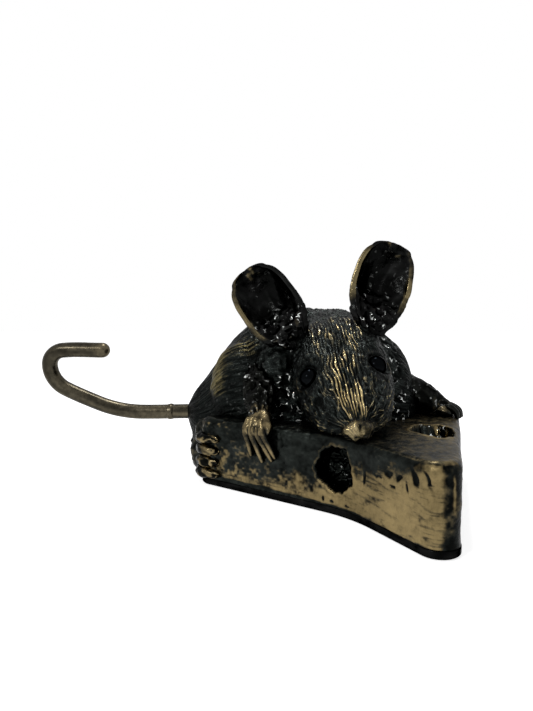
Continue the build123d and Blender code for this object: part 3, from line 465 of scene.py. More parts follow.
def body_skin():
    """Ellipses across the trunk, their middle, half depth and half height gliding through ten stations, cut flat at
    the table, swollen to two ellipsoids for haunch and shoulder; fur is combed strokes, looped curls
    over shoulder and chest, and tighter ones where the shoulder swells."""
    stations = (
        (0.0, 0.1, 0.33, 0.03, 0.035), (0.03, 0.1, 0.308, 0.14, 0.13), (0.1, 0.09, 0.315, 0.26, 0.255),
        (0.22, 0.065, 0.375, 0.385, 0.42), (0.38, 0.03, 0.43, 0.475, 0.52), (0.54, 0.0, 0.44, 0.5, 0.535),
        (0.7, -0.03, 0.425, 0.47, 0.505), (0.84, -0.06, 0.405, 0.385, 0.43), (0.95, -0.08, 0.39, 0.23, 0.27),
        (1.0, -0.08, 0.39, 0.04, 0.05),
    )
    length, depth, tall = 88.0, 62.0, 63.0
    rows, around = 330, 300
    share = np.linspace(0, 1, rows)
    share = share - 0.04 * np.sin(2 * np.pi * share)
    deep, high, half_depth, half_height = glide(stations, share).T[..., None]
    even = circle(around)
    angle = even - 0.5 * np.sin(even - 0.7)
    x = np.broadcast_to(-18.54 + (share[:, None] - 0.5) * length, (rows, around))
    y = 36.03 + depth * (deep - half_depth * np.cos(angle))
    z = tall * (high + half_height * np.sin(angle))
    rings = np.stack([x, y, z], -1)
    normal = outward(rings)
    haunch = swollen(rings, normal, np.array([-39.0, 26.5, 31.0]), np.array([12.5, 12.5, 18.0]))
    shoulder = swollen(rings, normal, np.array([-26.0, 19.5, 38.0]), np.array([10.0, 13.0, 13.0]))
    rings = rings + np.maximum(haunch, shoulder)[..., None] * normal
    normal = outward(rings)
    # Fur: tufts along the haunch and back, tight curls over shoulder and chest
    turn = np.broadcast_to(angle, x.shape) / (2 * np.pi)
    seen = ease(np.cos(angle - 0.7), -0.6, 0.2)
    drift = 0.8 * wander(x / 12, turn * 24, 51, 24)
    ridge, strength = strokes(x + 0.1 * z, turn * 96 + 1.2 * drift, 5.0, 52, 96)
    hairs = wander(x / 2.2, turn * 190 + 3 * drift, 53, 190) * seen
    loops = 1 - 2.4 * abs(wander(x / 2.2 + 1.5 * drift, turn * 84 + drift, 54, 84))
    knots = wander(x / 1.1, turn * 150 + drift, 55, 150) * seen
    curly = ease(x + 0.2 * (z - 30), -37, -29) * (1 - ease(x, 12, 20)) * ease(np.cos(angle), -0.35, 0.15)
    combed = 0.3 * ridge * (0.6 + 0.5 * strength) + 0.16 * hairs - 0.12
    bulge = ease(shoulder, 0.5, 3.0)
    tight = 1 - 2.4 * abs(wander(rings[..., 0] / 2.1 + 40 + 0.5 * drift, rings[..., 2] / 2.1 + drift, 57))
    coat = combed * (1 - curly) + (0.44 * loops + 0.3 * knots - 0.12) * curly + 0.4 * bulge * tight
    taper = ease(share, 0, 0.05)[:, None] * ease(1 - share, 0, 0.05)[:, None]
    rings = rings + (coat * taper)[..., None] * normal
    rings[..., 2] = np.maximum(rings[..., 2], 0)
    # Rubbed hair: a patch down the haunch's outer side and streaks over its top
    front = ease(np.cos(angle), -0.4, 0.1)
    outer = np.exp(-(((x + 47.5 - 0.16 * (z - 34)) / 3.2) ** 2)) * ease(z, 27, 33) * (1 - ease(z, 42, 48))
    top = np.exp(-(((x + 40) / 7) ** 2) - ((z - 47.5) / 3.2) ** 2)
    streak = ease(ridge * (0.7 + 0.5 * strength) + 0.4 * hairs, 0.2, 1.0)
    rubbed = front * (outer * (0.6 + 0.35 * streak) + 0.6 * top * streak)
    rubbed += 0.14 * streak * (1 - curly) * ease(np.sin(angle), -0.1, 0.5) + 0.12 * ease(loops, 0.5, 1) * curly
    flow = np.stack([x, turn * 180, 0 * x], -1)
    # Raised: greyer on the fur's tips and a little more on top, a painted sheen; near black between them, patina and
    # painted shade.
    raised = ease(coat, -0.35, 0.4) * (0.5 + 0.2 * np.sin(angle)) * (1 + 0.5 * curly) * (1 - 0.4 * bulge)
    chest = 1 - ease(z, 30, 40)
    patchy = ease(wander(x / 7, turn * 30, 56, 30), -0.6, 0.3)
    glint = (0.08 + curly * (1.8 * patchy + 4.0 * chest)) * ease(coat, -0.15 - 0.2 * chest, 0.25 - 0.2 * chest)
    rubbed, gloss = np.clip(rubbed, 0, 1), 0.25 + 0.75 * curly
    return rings, {"rubbed": rubbed, "raised": raised, "gloss": gloss, "glint": glint, "flow": flow}


def fur_finish(name, metal, lines, sheen):
    """Black patina over fur: worn bronze, with hair as noise drawn out along the mark `flow`, in mm, which breaks up
    the rubbed places into hairs."""
    finish = bronze(name, (0.0098, 0.0116, 0.0108), metal, grain=1100.0, fray=0.3, pitted=0.0001, sheen=sheen)
    tree = finish.node_tree
    shader = tree.nodes["Principled BSDF"]
    flow = node(tree, "ShaderNodeAttribute", attribute_name="flow").outputs["Vector"]
    combed = node(tree, "ShaderNodeMapping", {"Vector": flow, "Scale": (0.3, 1.3, 1.0)})
    hair = node(
        tree, "ShaderNodeTexNoise",
        {"Vector": combed.outputs[0], "Scale": 1.0, "Detail": 4.0, "Roughness": 0.65, "Distortion": 0.6})
    strands = node(tree, "ShaderNodeBump", {"Height": hair.outputs["Fac"], "Strength": 0.9, "Distance": 0.0006})
    tree.links.new(shader.inputs["Normal"].links[0].from_socket, strands.inputs["Normal"])
    tree.links.new(strands.outputs["Normal"], shader.inputs["Normal"])
    worn = shader.inputs["Base Color"].links[0].from_node
    split = node(
        tree, "ShaderNodeMapRange",
        {"Value": hair.outputs["Fac"], "From Min": 0.35, "From Max": 0.65, "To Min": 1 - lines, "To Max": 1 + lines})
    for socket in (worn.inputs["Rubbed"], worn.inputs["Raised"]):
        broken = node(
            tree, "ShaderNodeMath", {0: socket.links[0].from_socket, 1: split.outputs[0]}, operation="MULTIPLY")
        tree.links.new(broken.outputs[0], socket)
    return finish


trunk = skin("trunk", body_skin())
trunk_fur = fur_finish("trunk_fur", (0.135, 0.112, 0.052), 0.8, 0.55)
trunk.data.materials.append(trunk_fur)
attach(trunk, "root")
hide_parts("body")

# Belly plate. The oval plate that closes the core hole under the trunk, bronze with the same black patina as the
# base plate. It lies in the underside, out of sight.
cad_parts["belly_plate"].data.materials.clear()
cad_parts["belly_plate"].data.materials.append(base_black)

# Head. A separate casting on a neck dowel, chin on the wedge: broad cheeks, blunt nose, fur combed back from the
# nose in deep strands, rubbed to bright brass along the bridge and forehead.
head_nose = np.array([-5.176, -25.31, 25.377])
head_length, head_width, head_depth = 58.0, 31.6, 27.2


def head_axes():
    """Back to the nape, to the mouse's left, and down: yawed, pitched, then rolled about the first."""
    yaw, pitch, roll = np.radians([6.0, 37.5, 13.5])
    back = np.array([-np.sin(yaw) * np.cos(pitch), np.cos(yaw) * np.cos(pitch), np.sin(pitch)])
    level = np.array([np.cos(yaw), np.sin(yaw), 0])
    left = level * np.cos(roll) + np.cross(level, back) * np.sin(roll)
    return back, left, np.cross(back, left)


head_back, head_left, head_down = head_axes()


def head_point(aside, drop, along):
    """A place in shares of the head's width, depth and length from the nose tip."""
    across = head_nose + aside * head_width * head_left + drop * head_depth * head_down
    return across + along * head_length * head_back


eye_middles = {side: head_point(side * 0.335, 0.052, 0.456) for side in (1, -1)}


def head_skin():
    """Ellipses square to the line from nose to nape, gliding through nine stations. Lids, sockets, nostrils, mouth
    and pads are swellings and grooves by distance. Fur is strokes combed back from the nose over bridge and
    forehead, and finer strokes and curls on the cheeks."""
    stations = (
        (0.0, 0.075, 0.06, 0.065), (0.025, 0.085, 0.108, 0.125), (0.07, 0.125, 0.15, 0.162),
        (0.17, 0.215, 0.305, 0.277), (0.345, 0.295, 0.45, 0.412), (0.52, 0.316, 0.494, 0.478),
        (0.69, 0.316, 0.5, 0.5), (0.86, 0.345, 0.462, 0.455), (1.0, 0.38, 0.38, 0.38),
    )
    rows, around = 330, 300
    share = np.linspace(0, 1, rows) ** 1.25
    drop, half_width, half_depth = glide(stations, share).T[..., None]
    even = circle(around)
    angle = even - 0.55 * np.sin(even)
    sideways = head_width * half_width * np.sin(angle)
    down = head_depth * (drop - half_depth * np.cos(angle))
    along = np.broadcast_to(share[:, None] * head_length, sideways.shape)
    rings = head_nose + along[..., None] * head_back + sideways[..., None] * head_left + down[..., None] * head_down
    normal = outward(rings)
    degrees = np.degrees((np.broadcast_to(angle, along.shape) + np.pi) % (2 * np.pi) - np.pi)
    # Nose button, whisker pads, mouth, nostrils, sockets, lids and brow
    swell = 0.05 * np.exp(-((along - 2.4) / 1.3) ** 2) - 0.5 * np.exp(-((along - 5.0) / 0.9) ** 2)
    swell += 0.7 * np.exp(-((along - 11) / 4) ** 2 - ((abs(degrees) - 100) / 26) ** 2)
    swell -= 0.8 * np.exp(-((abs(degrees) - 140) / 7) ** 2) * (1 - ease(along, 10, 17))
    nostril = np.exp(-((along - 1.5) / 0.7) ** 2 - ((abs(degrees) - 105) / 20) ** 2)
    cleft = np.exp(-((degrees / 9) ** 2)) * (1 - ease(along, 1.5, 3.5)) + np.exp(-(((abs(degrees) - 180) / 12) ** 2))
    swell -= 0.8 * nostril + 0.3 * cleft * (1 - ease(along, 3, 5))
    away = {side: np.linalg.norm(rings - eye_middles[side], axis=-1) for side in (1, -1)}
    near = np.minimum(away[1], away[-1])
    outer = ease(abs(degrees), 45, 75)
    lid = np.exp(-((near - 4.9) / 0.5) ** 2)
    socket = 1 - ease(near, 3.7, 4.6)
    swell += 0.6 * lid * (0.2 + 0.8 * outer) - 1.1 * socket + 0.5 * np.exp(-((near - 7.5) / 2.0) ** 2) * (1 - outer)
    # Fur: strokes combed back from the nose within a window of degrees about the bridge, short curls outside it
    turn = np.broadcast_to(angle, along.shape) / (2 * np.pi)
    across = np.radians(degrees) * (4.5 + 0.55 * np.sqrt(head_width * half_width * head_depth * half_depth))
    drift = wander(along / 6, across / 2.6 + 30, 61) + 0.5 * wander(along / 2.5, across / 1.5 + 30, 65)
    ridge, strength = strokes(along, (across + 0.5 * drift) / 0.84, 4.2, 62)
    thin, weak = strokes(along + 2 * drift, (across - 0.6 * drift) / 0.62 + 40, 3.2, 67)
    strands = wander(along / 1.8, turn * 120 + drift, 63, 120)
    curls = 1 - 2.4 * abs(wander(along / 2.0, turn * 72 + 1.5 * drift, 64, 72))
    hair, mood = strokes(along + 2 * curls, turn * 110 + 3 * drift, 2.5, 69, 110)
    window = glide(
        ((0, -60, 60), (5, -34, 34), (12, -20, 22), (25, -23, 22), (34, -27, 28), (44, -31, 37), (58, -32, 38)),
        along[:, 0])
    field = ease(degrees, window[:, :1] - 8, window[:, :1] + 4)
    field = field * (1 - ease(degrees, window[:, 1:] - 4, window[:, 1:] + 8))
    field *= 1 - ease(along, 46, 51)
    bare = ease(along, 4.0, 6.0) * (1 - lid) * (1 - socket)
    stroke = ridge * (0.85 + 0.4 * strength) + 0.3 * thin * (0.4 + weak)
    combed = 0.6 * stroke + 0.12 * strands - 0.28
    curled = 0.4 * hair * (0.6 + 0.6 * mood) + 0.2 * curls + 0.12 * strands - 0.2
    coat = combed * field + curled * (1 - field)
    rings = rings + (swell + coat * bare)[..., None] * normal
    forehead = ease(along, 14, 31)
    # The bridge's brass is brightest near the nose and fades towards the forehead: partly rubbed metal, partly a
    # painted highlight where light from above falls.
    bright = 0.84 - 0.58 * forehead + (0.42 - 0.2 * forehead) * strength + 0.15 * strands + 0.15 * weak
    rubbed = field * bright * ease(stroke, 0.48, 0.95) * ease(along, 4.5, 6.5)
    rubbed = np.maximum(rubbed, field * forehead * (0.15 + 0.14 * strands) * ease(stroke, 0.2, 0.5))
    flecks = 0.58 * ease(hair * (0.5 + 0.7 * mood) + 0.4 * curls, 0.5, 1.2) * (0.35 + 0.65 * ease(32 - along, 4, 22))
    spots = wander(sideways / 1.3 + 20, down / 1.3 + 20, 66)
    # Brass on the nose button's top and on the mouse's right side, dark underneath and on its left: partly rubbed
    # metal, partly painted light and painted shade.
    button = (1 - ease(along, 3.4, 5.0)) * (0.5 - 0.9 * nostril - 0.5 * cleft + 0.5 * spots)
    button *= ease(140 - abs(degrees), 0, 50) * (1 - 0.55 * ease(sideways, 0.5, 2.0))
    rubbed = np.maximum(np.maximum(rubbed, flecks), button) * (1 - socket)
    rubbed = np.maximum(rubbed, 0.3 * lid * outer)
    flow = np.stack([along, turn * 90, 0 * along], -1)
    glint = 0.5 * ease(coat, 0.05, 0.4) * ease(wander(along / 6, turn * 20, 68, 20), 0, 0.7) * (1 - socket)
    # Raised: greyer on the fur's tips, a painted sheen, and darker within about 8 mm of the eyes, a painted shade round
    # the sockets.
    raised = 1.1 * ease(coat, -0.22, 0.26) * (0.35 + 0.65 * ease(near, 4.5, 8))
    raised = raised * (1 - 0.7 * (1 - ease(along, 3.4, 5)))
    rubbed, gloss = np.clip(rubbed, 0, 1), 0.25 + 0.5 * np.maximum(field, 1 - ease(along, 3, 6))
    return rings, {"rubbed": rubbed, "raised": raised, "gloss": gloss, "glint": glint, "flow": flow}


skull = skin("skull", head_skin())
skull.data.materials.append(fur_finish("face_fur", (0.4, 0.322, 0.17), 0.35, 0.7))
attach(skull, "root")
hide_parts("head")

# Eyes. Two round beads of the same bronze, half sunk between the lids of the head. Their black patina is polished
# to a gloss.
def bead(middle, radius, rows=48, around=64):
    """A ball: circles whose radius is the sine of the angle from the pole."""
    polar = np.linspace(0.03, np.pi - 0.03, rows)[:, None]
    turn = circle(around)
    unit = np.stack([np.sin(polar) * np.cos(turn), np.sin(polar) * np.sin(turn), np.cos(polar) + 0 * turn], -1)
    return middle + radius * unit


def plain(rings, rubbed, raised, gloss):
    """The same marks at every point of the rings."""
    marks = {"rubbed": rubbed, "raised": raised, "gloss": gloss}
    return {mark: np.full(rings.shape[:2], much) for mark, much in marks.items()}


eye_radius = 3.2
eye_black = bronze("eye_black", (0.006, 0.007, 0.008), (0.2, 0.16, 0.1), grain=400.0, pitted=0.00003)
for side, name in ((1, "left"), (-1, "right")):
    rings = bead(eye_middles[side], eye_radius)
    eye = skin(name + "_bead", (rings, plain(rings, 0.0, 0.1, 1.0)))
    eye.data.materials.append(eye_black)
    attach(eye, "root")
    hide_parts(name + "_eye")

# Ears. Thin cupped castings, each on a peg in the head. Glossy black inside with soft folds, crinkled at the foot,
# their rolled rims rubbed to brass. Grey along the folds and pale curls on the crinkles are painted highlights, and
# the brass on the right ear's rim, only on its left side, is partly rubbed, partly a painted highlight.
def ear_skin(side):
    """Slices across the ear, each a loop: round the back by half an ellipse, over the rounded rim, and back through
    the cup by a shallower bowl, a power of the cosine. Width, depth, cup and lean glide through eight stations; the
    foot is flared and crinkled by noise."""
    stations = (
        (0.0, 0.26, 0.52, 0.1, 0.0), (0.18, 0.32, 0.64, 0.3, 0.0), (0.36, 0.42, 0.88, 0.66, 0.0),
        (0.56, 0.5, 1.0, 1.0, 0.0), (0.76, 0.48, 0.9, 0.92, 0.06), (0.91, 0.36, 0.64, 0.5, 0.16),
        (0.985, 0.2, 0.38, 0.2, 0.25), (1.0, 0.1, 0.25, 0.1, 0.26),
    )
    length, width, depth, wall = 31.0, 20.5, 7.0, 1.6
    rows, around = 110, 180
    share = np.linspace(0, 1, rows)
    share = share + 0.05 * np.sin(np.pi * share) ** 2
    share = share / share[-1]
    half, deep, cup, lean = glide(stations, share).T[..., None]
    swing = np.linspace(-np.pi / 2, np.pi / 2, around // 2)
    wide, rim, back = half * width, lean * depth, deep * depth
    inner = np.maximum(wide - wall, 0.15)
    floor = np.maximum(cup * (back - wall), 0.05)
    outer_x, outer_y = wide * np.sin(swing), rim - back * np.cos(swing)
    inner_x, inner_y = inner * np.sin(-swing), rim - floor * np.cos(swing) ** 1.7
    x = np.concatenate([outer_x, inner_x], 1)
    y = np.concatenate([outer_y, inner_y], 1)
    hem = np.exp(-((np.abs(np.concatenate([swing, swing[::-1]])) - np.pi / 2) / 0.28) ** 2)
    is_cup = np.concatenate([0 * swing, 0 * swing + 1])
    seed = 70 + side
    ripple = wander(share[:, None] * 7 + 3, x / 4 + 30, seed)
    folds = wander(share[:, None] * 4 + 0.06 * x, x / 3.2 + 30, seed + 3)
    low = 1 - ease(share, 0.3, 0.52)[:, None]
    lumps = wander(share[:, None] * 17, x / 1.7 + 30, seed + 6)
    lumps = lumps + 0.5 * wander(share[:, None] * 34, x / 0.9 + 30, seed + 7)
    lining = 0.7 * folds + (0.1 + 0.75 * low) * lumps + 0.7 * low
    y = y + 0.5 * hem * ripple + is_cup * (1 - hem) * lining * ease(half, 0.15, 0.3)
    y = y + (1 - is_cup) * (1 - hem) * 0.4 * low * lumps
    flare = (1 - ease(share, 0.12, 0.66)[:, None]) * ease(share, 0.02, 0.2)[:, None]
    x = x * (1 + (0.3 + 0.06 * lumps) * flare)
    x = x * (1 + 0.02 * wander(share[:, None] * 6, x * 0 + 5, seed + 9))
    tilt, lean_back, turn = np.radians([side * 25.0 - 10.0, 6.0, side * 8.0])
    upward = np.array([np.sin(tilt) * np.cos(lean_back), np.sin(lean_back), np.cos(tilt) * np.cos(lean_back)])
    facing = np.array([np.sin(turn), -np.cos(turn), 0])
    across = np.cross(facing, upward)
    across /= np.linalg.norm(across)
    out = np.cross(upward, across)
    root = head_point(side * 0.3875, 0.055, 0.741)
    rings = root + x[..., None] * across + y[..., None] * out + (share * length)[:, None, None] * upward
    worn = (0.3 + 0.7 * ease(ripple + 0.6 * folds, -0.5, 0.3)) * ease(share, 0.15, 0.4)[:, None]
    # The right ear's rim is brass only on its left side: a rubbed rim, partly a painted highlight on the lit side.
    to_left = ease(x, -2, 4)
    fading = 1 - 0.6 * ease(share, 0.66, 0.8)[:, None]
    edge = to_left * fading if side < 0 else 0.9 - 0.5 * ease(share, 0.8, 0.95)[:, None]
    flecks = 0.3 * low * ease(lumps, 0.5, 1.2)
    lip = is_cup * ease(share, 0.84, 0.92)[:, None] * ease(folds + 0.5 * lumps, 0.1, 0.7)
    flecks = np.maximum(flecks, 0.6 * lip)
    glint = (0.12 * is_cup + low) * (1 - hem) * ease(lumps, -0.3, 0.6)
    # Grey along the cup's folds: a painted highlight.
    fold_highlight = np.exp(-((folds - 0.25) / 0.16) ** 2) * (0.6 + 0.4 * lumps)
    raised = 0.05 + 0.5 * is_cup * fold_highlight + 0.4 * low * ease(lumps, -0.2, 1) + 0.25 * hem + 0.12 * (1 - is_cup)
    raised = np.clip(raised, 0, 1)
    rubbed = np.clip(np.maximum(hem * worn * edge, flecks), 0, 1)
    return rings, {"rubbed": rubbed, "raised": raised, "gloss": 0 * x + 0.8, "glint": glint}


ear_gloss = bronze("ear_gloss", (0.0085, 0.0088, 0.0085), (0.13, 0.105, 0.055), grain=600.0, fray=0.5, pitted=0.00025)
for side, name in ((1, "left"), (-1, "right")):
    ear = skin(name + "_cup", ear_skin(side))
    ear.data.materials.append(ear_gloss)
    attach(ear, "root")
    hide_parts(name + "_ear")

# Forelegs. Two pinned castings: a furred arm, a flat paw and four bony fingers, the near paw hanging over the front
# edge and rubbed to brass, the other lying along the wedge's top with its fingers over the rind.
def limb(points, radii, side, rows=60, around=32):
    """A round bar through points, its radius gliding with them, closed by half balls at both ends; each ring is a
    circle in the plane of a side direction and its cross product with the run."""
    points = np.array(points, float)
    knots = np.concatenate([[0], np.cumsum(np.linalg.norm(np.diff(points, axis=0), axis=1))])
    at = np.linspace(0, knots[-1], rows)
    path = glide(np.column_stack([knots, points]), at)
    radius = glide(np.column_stack([knots, radii]), at)
    heading = np.gradient(path, axis=0)
    heading /= np.linalg.norm(heading, axis=-1, keepdims=True)
    round_off = np.linspace(np.pi / 2 - 0.08, 0, 9)[:-1, None]
    start = path[:1] - heading[:1] * radius[0] * np.sin(round_off)
    end = path[-1:] + heading[-1:] * radius[-1] * np.sin(round_off[::-1])
    path = np.concatenate([start, path, end])
    heading = np.concatenate([heading[:1].repeat(8, 0), heading, heading[-1:].repeat(8, 0)])
    radius = np.concatenate([radius[0] * np.cos(round_off), radius, radius[-1] * np.cos(round_off[::-1])])
    first = side - heading * (heading @ np.array(side, float))[:, None]
    first /= np.linalg.norm(first, axis=-1, keepdims=True)
    second = np.cross(heading, first)
    turn = circle(around)[None, :, None]
    return path[:, None] + radius[:, None] * (np.cos(turn) * first[:, None] + np.sin(turn) * second[:, None])


def furred(rings, seed, amount, curl=2.4):
    """The same rings with curly fur: ridged noise in cells of about `curl` mm, pushed out along their normals."""
    middle = rings.mean(1)
    along = np.concatenate([[0], np.cumsum(np.linalg.norm(np.diff(middle, axis=0), axis=-1))])[:, None] / curl
    count = max(6, int(np.linalg.norm(np.roll(rings, 1, 1) - rings, axis=-1).sum(1).mean() / curl))
    turn = np.arange(rings.shape[1]) / rings.shape[1] * count
    bend = wander(along / 2, turn / count * 5, seed + 2, 5)
    lumps = 1 - 2.4 * abs(wander(along + bend, turn + bend, seed, count))
    lumps = lumps + 0.6 * wander(along * 2.3, turn * 2 + bend, seed + 1, 2 * count)
    return rings + (amount * lumps)[..., None] * outward(rings), lumps


def paw_skin(place, out, droop, length, width, thick):
    """A paw: a flattened ball, its back crossed by four low tendons that fan towards the fingers."""
    tilt = np.radians(droop)
    out = np.array([*out, 0.0])
    forward = out * np.cos(tilt) - np.array([0, 0, np.sin(tilt)])
    upward = out * np.sin(tilt) + np.array([0, 0, np.cos(tilt)])
    aside = np.cross(upward, forward)
    polar = np.linspace(0.04, np.pi - 0.04, 60)[:, None]
    turn = circle(72)
    x = -np.cos(polar) + 0 * turn
    y = np.sin(polar) ** 0.8 * np.cos(turn) * (1 + 0.4 * x)
    z = np.sin(polar) ** 0.8 * np.sin(turn)
    z = z + 0.13 * np.cos(y * 4 * np.pi / 1.1) * ease(x, 0.0, 0.8) * (z > 0)
    rings = place + (x * length / 2)[..., None] * forward + (y * width / 2)[..., None] * aside
    return rings + (z * thick / 2)[..., None] * upward, x, y, z


paw_length, paw_width, paw_thick = 10.0, 10.2, 5.6
front_run, front_out = np.array([-0.8026, 0.5966]), np.array([-0.5966, -0.8026])
rind_run, rind_out = np.array([0.329, 0.9443]), np.array([0.9443, -0.329])
near_edge, far_edge = np.array([-32.58, -2.35, 23.0]), np.array([37.46, 17.88, 23.0])
near_paw = near_edge + np.array([*(1.0 * front_out), 1.4])
far_paw = far_edge + np.array([*(-6.5 * rind_out), 2.0])


def foreleg(shoulder, paw, girth, lift, out, droop, fingers, along, seed, brass, tufts):
    """The arm from shoulder by elbow to wrist, of three radii in girth, its paw, and the fingers, each a limb through
    its own points."""
    elbow = shoulder + 0.55 * (paw - shoulder) + np.array([0, 0, lift])
    arm = limb([shoulder, elbow, paw], girth, (0, 0, 1), 150, 110)
    rows = np.linspace(0, 1, len(arm))[:, None]
    arm, lumps = furred(arm, seed, tufts * (1 - 0.75 * ease(rows, 0.68, 0.92)))
    worn = np.clip(ease(lumps, 0.0, 1.4) * ease(rows, 0.62, 0.95) * brass, 0, 1)
    raised = 0.45 * ease(lumps, -0.6, 1.3) * (0.3 + 0.7 * ease(rows, 0.08, 0.3))
    furry = 1 - 0.6 * ease(rows, 0.6, 0.9) + 0 * worn
    shells = [(arm, {"rubbed": worn, "raised": raised, "gloss": furry, "glint": 0.9 * furry * ease(lumps, 0.1, 0.9)})]
    hand, x, y, z = paw_skin(paw, out, droop, paw_length, paw_width, paw_thick)
    spots = wander(x * 4, y * 4 + 9, seed + 5) + 0.5 * wander(x * 9, y * 9 + 20, seed + 6)
    tendon = ease(np.cos(y * 4 * np.pi / 1.1), -0.6, 0.5)
    worn = (0.62 + 0.28 * spots) * ease(z, -0.3, 0.3) * (1 - ease(x, 0.3, 0.9) * (1 - tendon))
    worn = np.clip(worn * brass, 0, 1)
    shells.append((hand, {"rubbed": worn, "raised": 0.5 + 0.3 * spots, "gloss": 0.6 + 0 * worn, "glint": 0 * worn}))
    for points in fingers:
        digit = limb(points, [1.35, 1.35, 1.05, 0.6], (*along, 0), 44, 24)
        turn = np.cos(circle(24) + 0.25 * np.pi)
        joint = np.sin(np.linspace(0, 3.3 * np.pi, len(digit)))[:, None]
        digit = digit + (0.1 * joint)[..., None] * outward(digit)
        # Brass only on the lit side of each finger and dark on the other side: a painted highlight and painted shade.
        lit_side = np.clip((0.72 + 0.3 * joint) * ease(turn, -0.5, 0.5) * brass, 0, 1)
        shells.append((digit, {"rubbed": lit_side, "raised": 0.4 + 0 * lit_side, "gloss": 0.5 + 0 * lit_side, "glint": 0 * lit_side}))
    return shells


# Fingers: shares of the reach out, of the hang or rise, of the fan and of the slant, from root to tip
finger_lengths = (0.82, 0.92, 1.0, 0.86)
near_bend = ((0.25, -0.2, 0.58, -0.1), (0.35, 0.14, 0.78, -0.02), (0.2, 0.58, 0.9, 0.1), (0.06, 1, 1, 0.22))
near_reach, near_hang = 10.0, 11.0
near_fingers = [
    [near_edge + np.array(
        [*(out * near_reach * front_out + (fan * aside - shift * slant) * front_run), -drop * long * near_hang])
     for out, drop, fan, shift in near_bend]
    for aside, long, slant in zip((-4.3, -1.8, 1.2, 4.3), finger_lengths, (6.0, 12.0, 9.0, 3.0))
]
far_fingers = [
    [far_paw + np.array([*(out * long * 6.8 * rind_out + fan * aside * rind_run), rise * paw_thick])
     for out, rise, fan in ((0.25, 0.15, 0.6), (0.6, 0.2, 0.85), (0.9, 0.0, 0.95), (1.05, -0.4, 1.0))]
    for aside, long in zip(np.linspace(-3.8, 3.8, 4), finger_lengths)
]
paw_brass = bronze(
    "paw_brass", (0.0095, 0.01, 0.0088), (0.16, 0.124, 0.064), grain=800.0, fray=0.5, pitted=0.0002, sheen=0.6)
near_arm = foreleg(
    np.array([-32.62, 16.19, 35.91]), near_paw, girth=(6.5, 5.0, 2.5), lift=1.0, out=front_out, droop=52.0,
    fingers=near_fingers, along=front_run, seed=81, brass=0.84, tufts=0.6)
far_arm = foreleg(
    np.array([14.02, 27.35, 32.76]), far_paw, girth=(6.5, 6.2, 4.3), lift=1.0, out=rind_out, droop=8.0,
    fingers=far_fingers, along=rind_run, seed=91, brass=0.55, tufts=0.22)
for name, shells in (("right", near_arm), ("left", far_arm)):
    arm = skin(name + "_arm", *shells)
    arm.data.materials.append(paw_brass)
    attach(arm, "root")
    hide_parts(name + "_foreleg")

# Hind feet. Pinned castings: the right foot grips the wedge's tip with four stacked toes, the left one lies flat on
# the table behind the wedge.
def right_toes():
    """Toes that follow an arc round the tip's rounding, then straight along the front; a heel ball behind."""
    middle, radius = np.array([-48.39, 15.63]), 5.0
    lowest, pitch = 4.4, 3.9
    shells = []
    for index in range(4):
        height = lowest + pitch * index
        turns = 2 * np.pi * np.array([0.375, 0.5, 0.625])
        points = [np.array([*(middle + (radius + 0.57) * np.array([np.cos(t), np.sin(t)])), height]) for t in turns]
        points.append(points[-1] + np.array([*(-5.0 * front_run), 0]))
        toe, lumps = furred(limb(points, [1.9, 1.9, 1.9, 1.2], (0, 0, 1), 60, 36), 101 + index, 0.2)
        tip = np.linspace(0, 1, len(toe))[:, None]
        worn = np.clip(ease(tip, 0.3, 0.7) * (0.4 + 0.6 * lumps), 0, 1)
        shells.append((toe, {"rubbed": worn, "raised": ease(lumps, -0.8, 1.3), "gloss": 0.6 + 0 * worn}))
    turn = 2 * np.pi * 0.32
    heel = np.array([*(middle + 11.0 * np.array([np.cos(turn), np.sin(turn)])), lowest + pitch * 1.5])
    ball, lumps = furred(heel + (bead(np.zeros(3), 1.0, 60, 60)) * np.array([6.0, 6.0, 10.2]), 111, 0.3)
    ball[..., 2] = np.maximum(ball[..., 2], 0)
    marks = {"rubbed": np.clip(0.3 * lumps, 0, 1), "raised": ease(lumps, -0.8, 1.3), "gloss": 0 * lumps + 0.6}
    shells.append((ball, marks))
    return shells


def left_toes():
    """A flattened ball for the sole and four toes fanned from it, cut flat at the table."""
    heel = np.array([13.14, 39.75, 0.0])
    sole, lumps = furred(heel + bead(np.zeros(3), 1.0, 60, 60) * np.array([12.0, 5.5, 7.0]), 121, 0.25)
    sole[..., 2] = np.maximum(sole[..., 2], 0)
    marks = {"rubbed": np.clip(0.2 * lumps, 0, 1), "raised": ease(lumps, -0.8, 1.3), "gloss": 0 * lumps + 0.6}
    shells = [(sole, marks)]
    curve = ((0.3, 0.7, 0.3), (0.5, 1.0, 0.32), (0.66, 1.15, 0.14))
    for aside in np.linspace(-4, 4, 4):
        points = [heel + np.array([out * 24.0, fan * aside, rise * 7.0]) for out, fan, rise in curve]
        toe = limb(points, [1.9, 1.9, 1.2], (0, 0, 1), 40, 30)
        toe[..., 2] = np.maximum(toe[..., 2], 0)
        shells.append((toe, plain(toe, 0.3, 0.5, 0.5)))
    return shells


for name, shells in (("right", right_toes()), ("left", left_toes())):
    foot = skin(name + "_toes", *shells)
    foot.data.materials.append(paw_brass)
    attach(foot, "root")
    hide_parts(name + "_hind_foot")
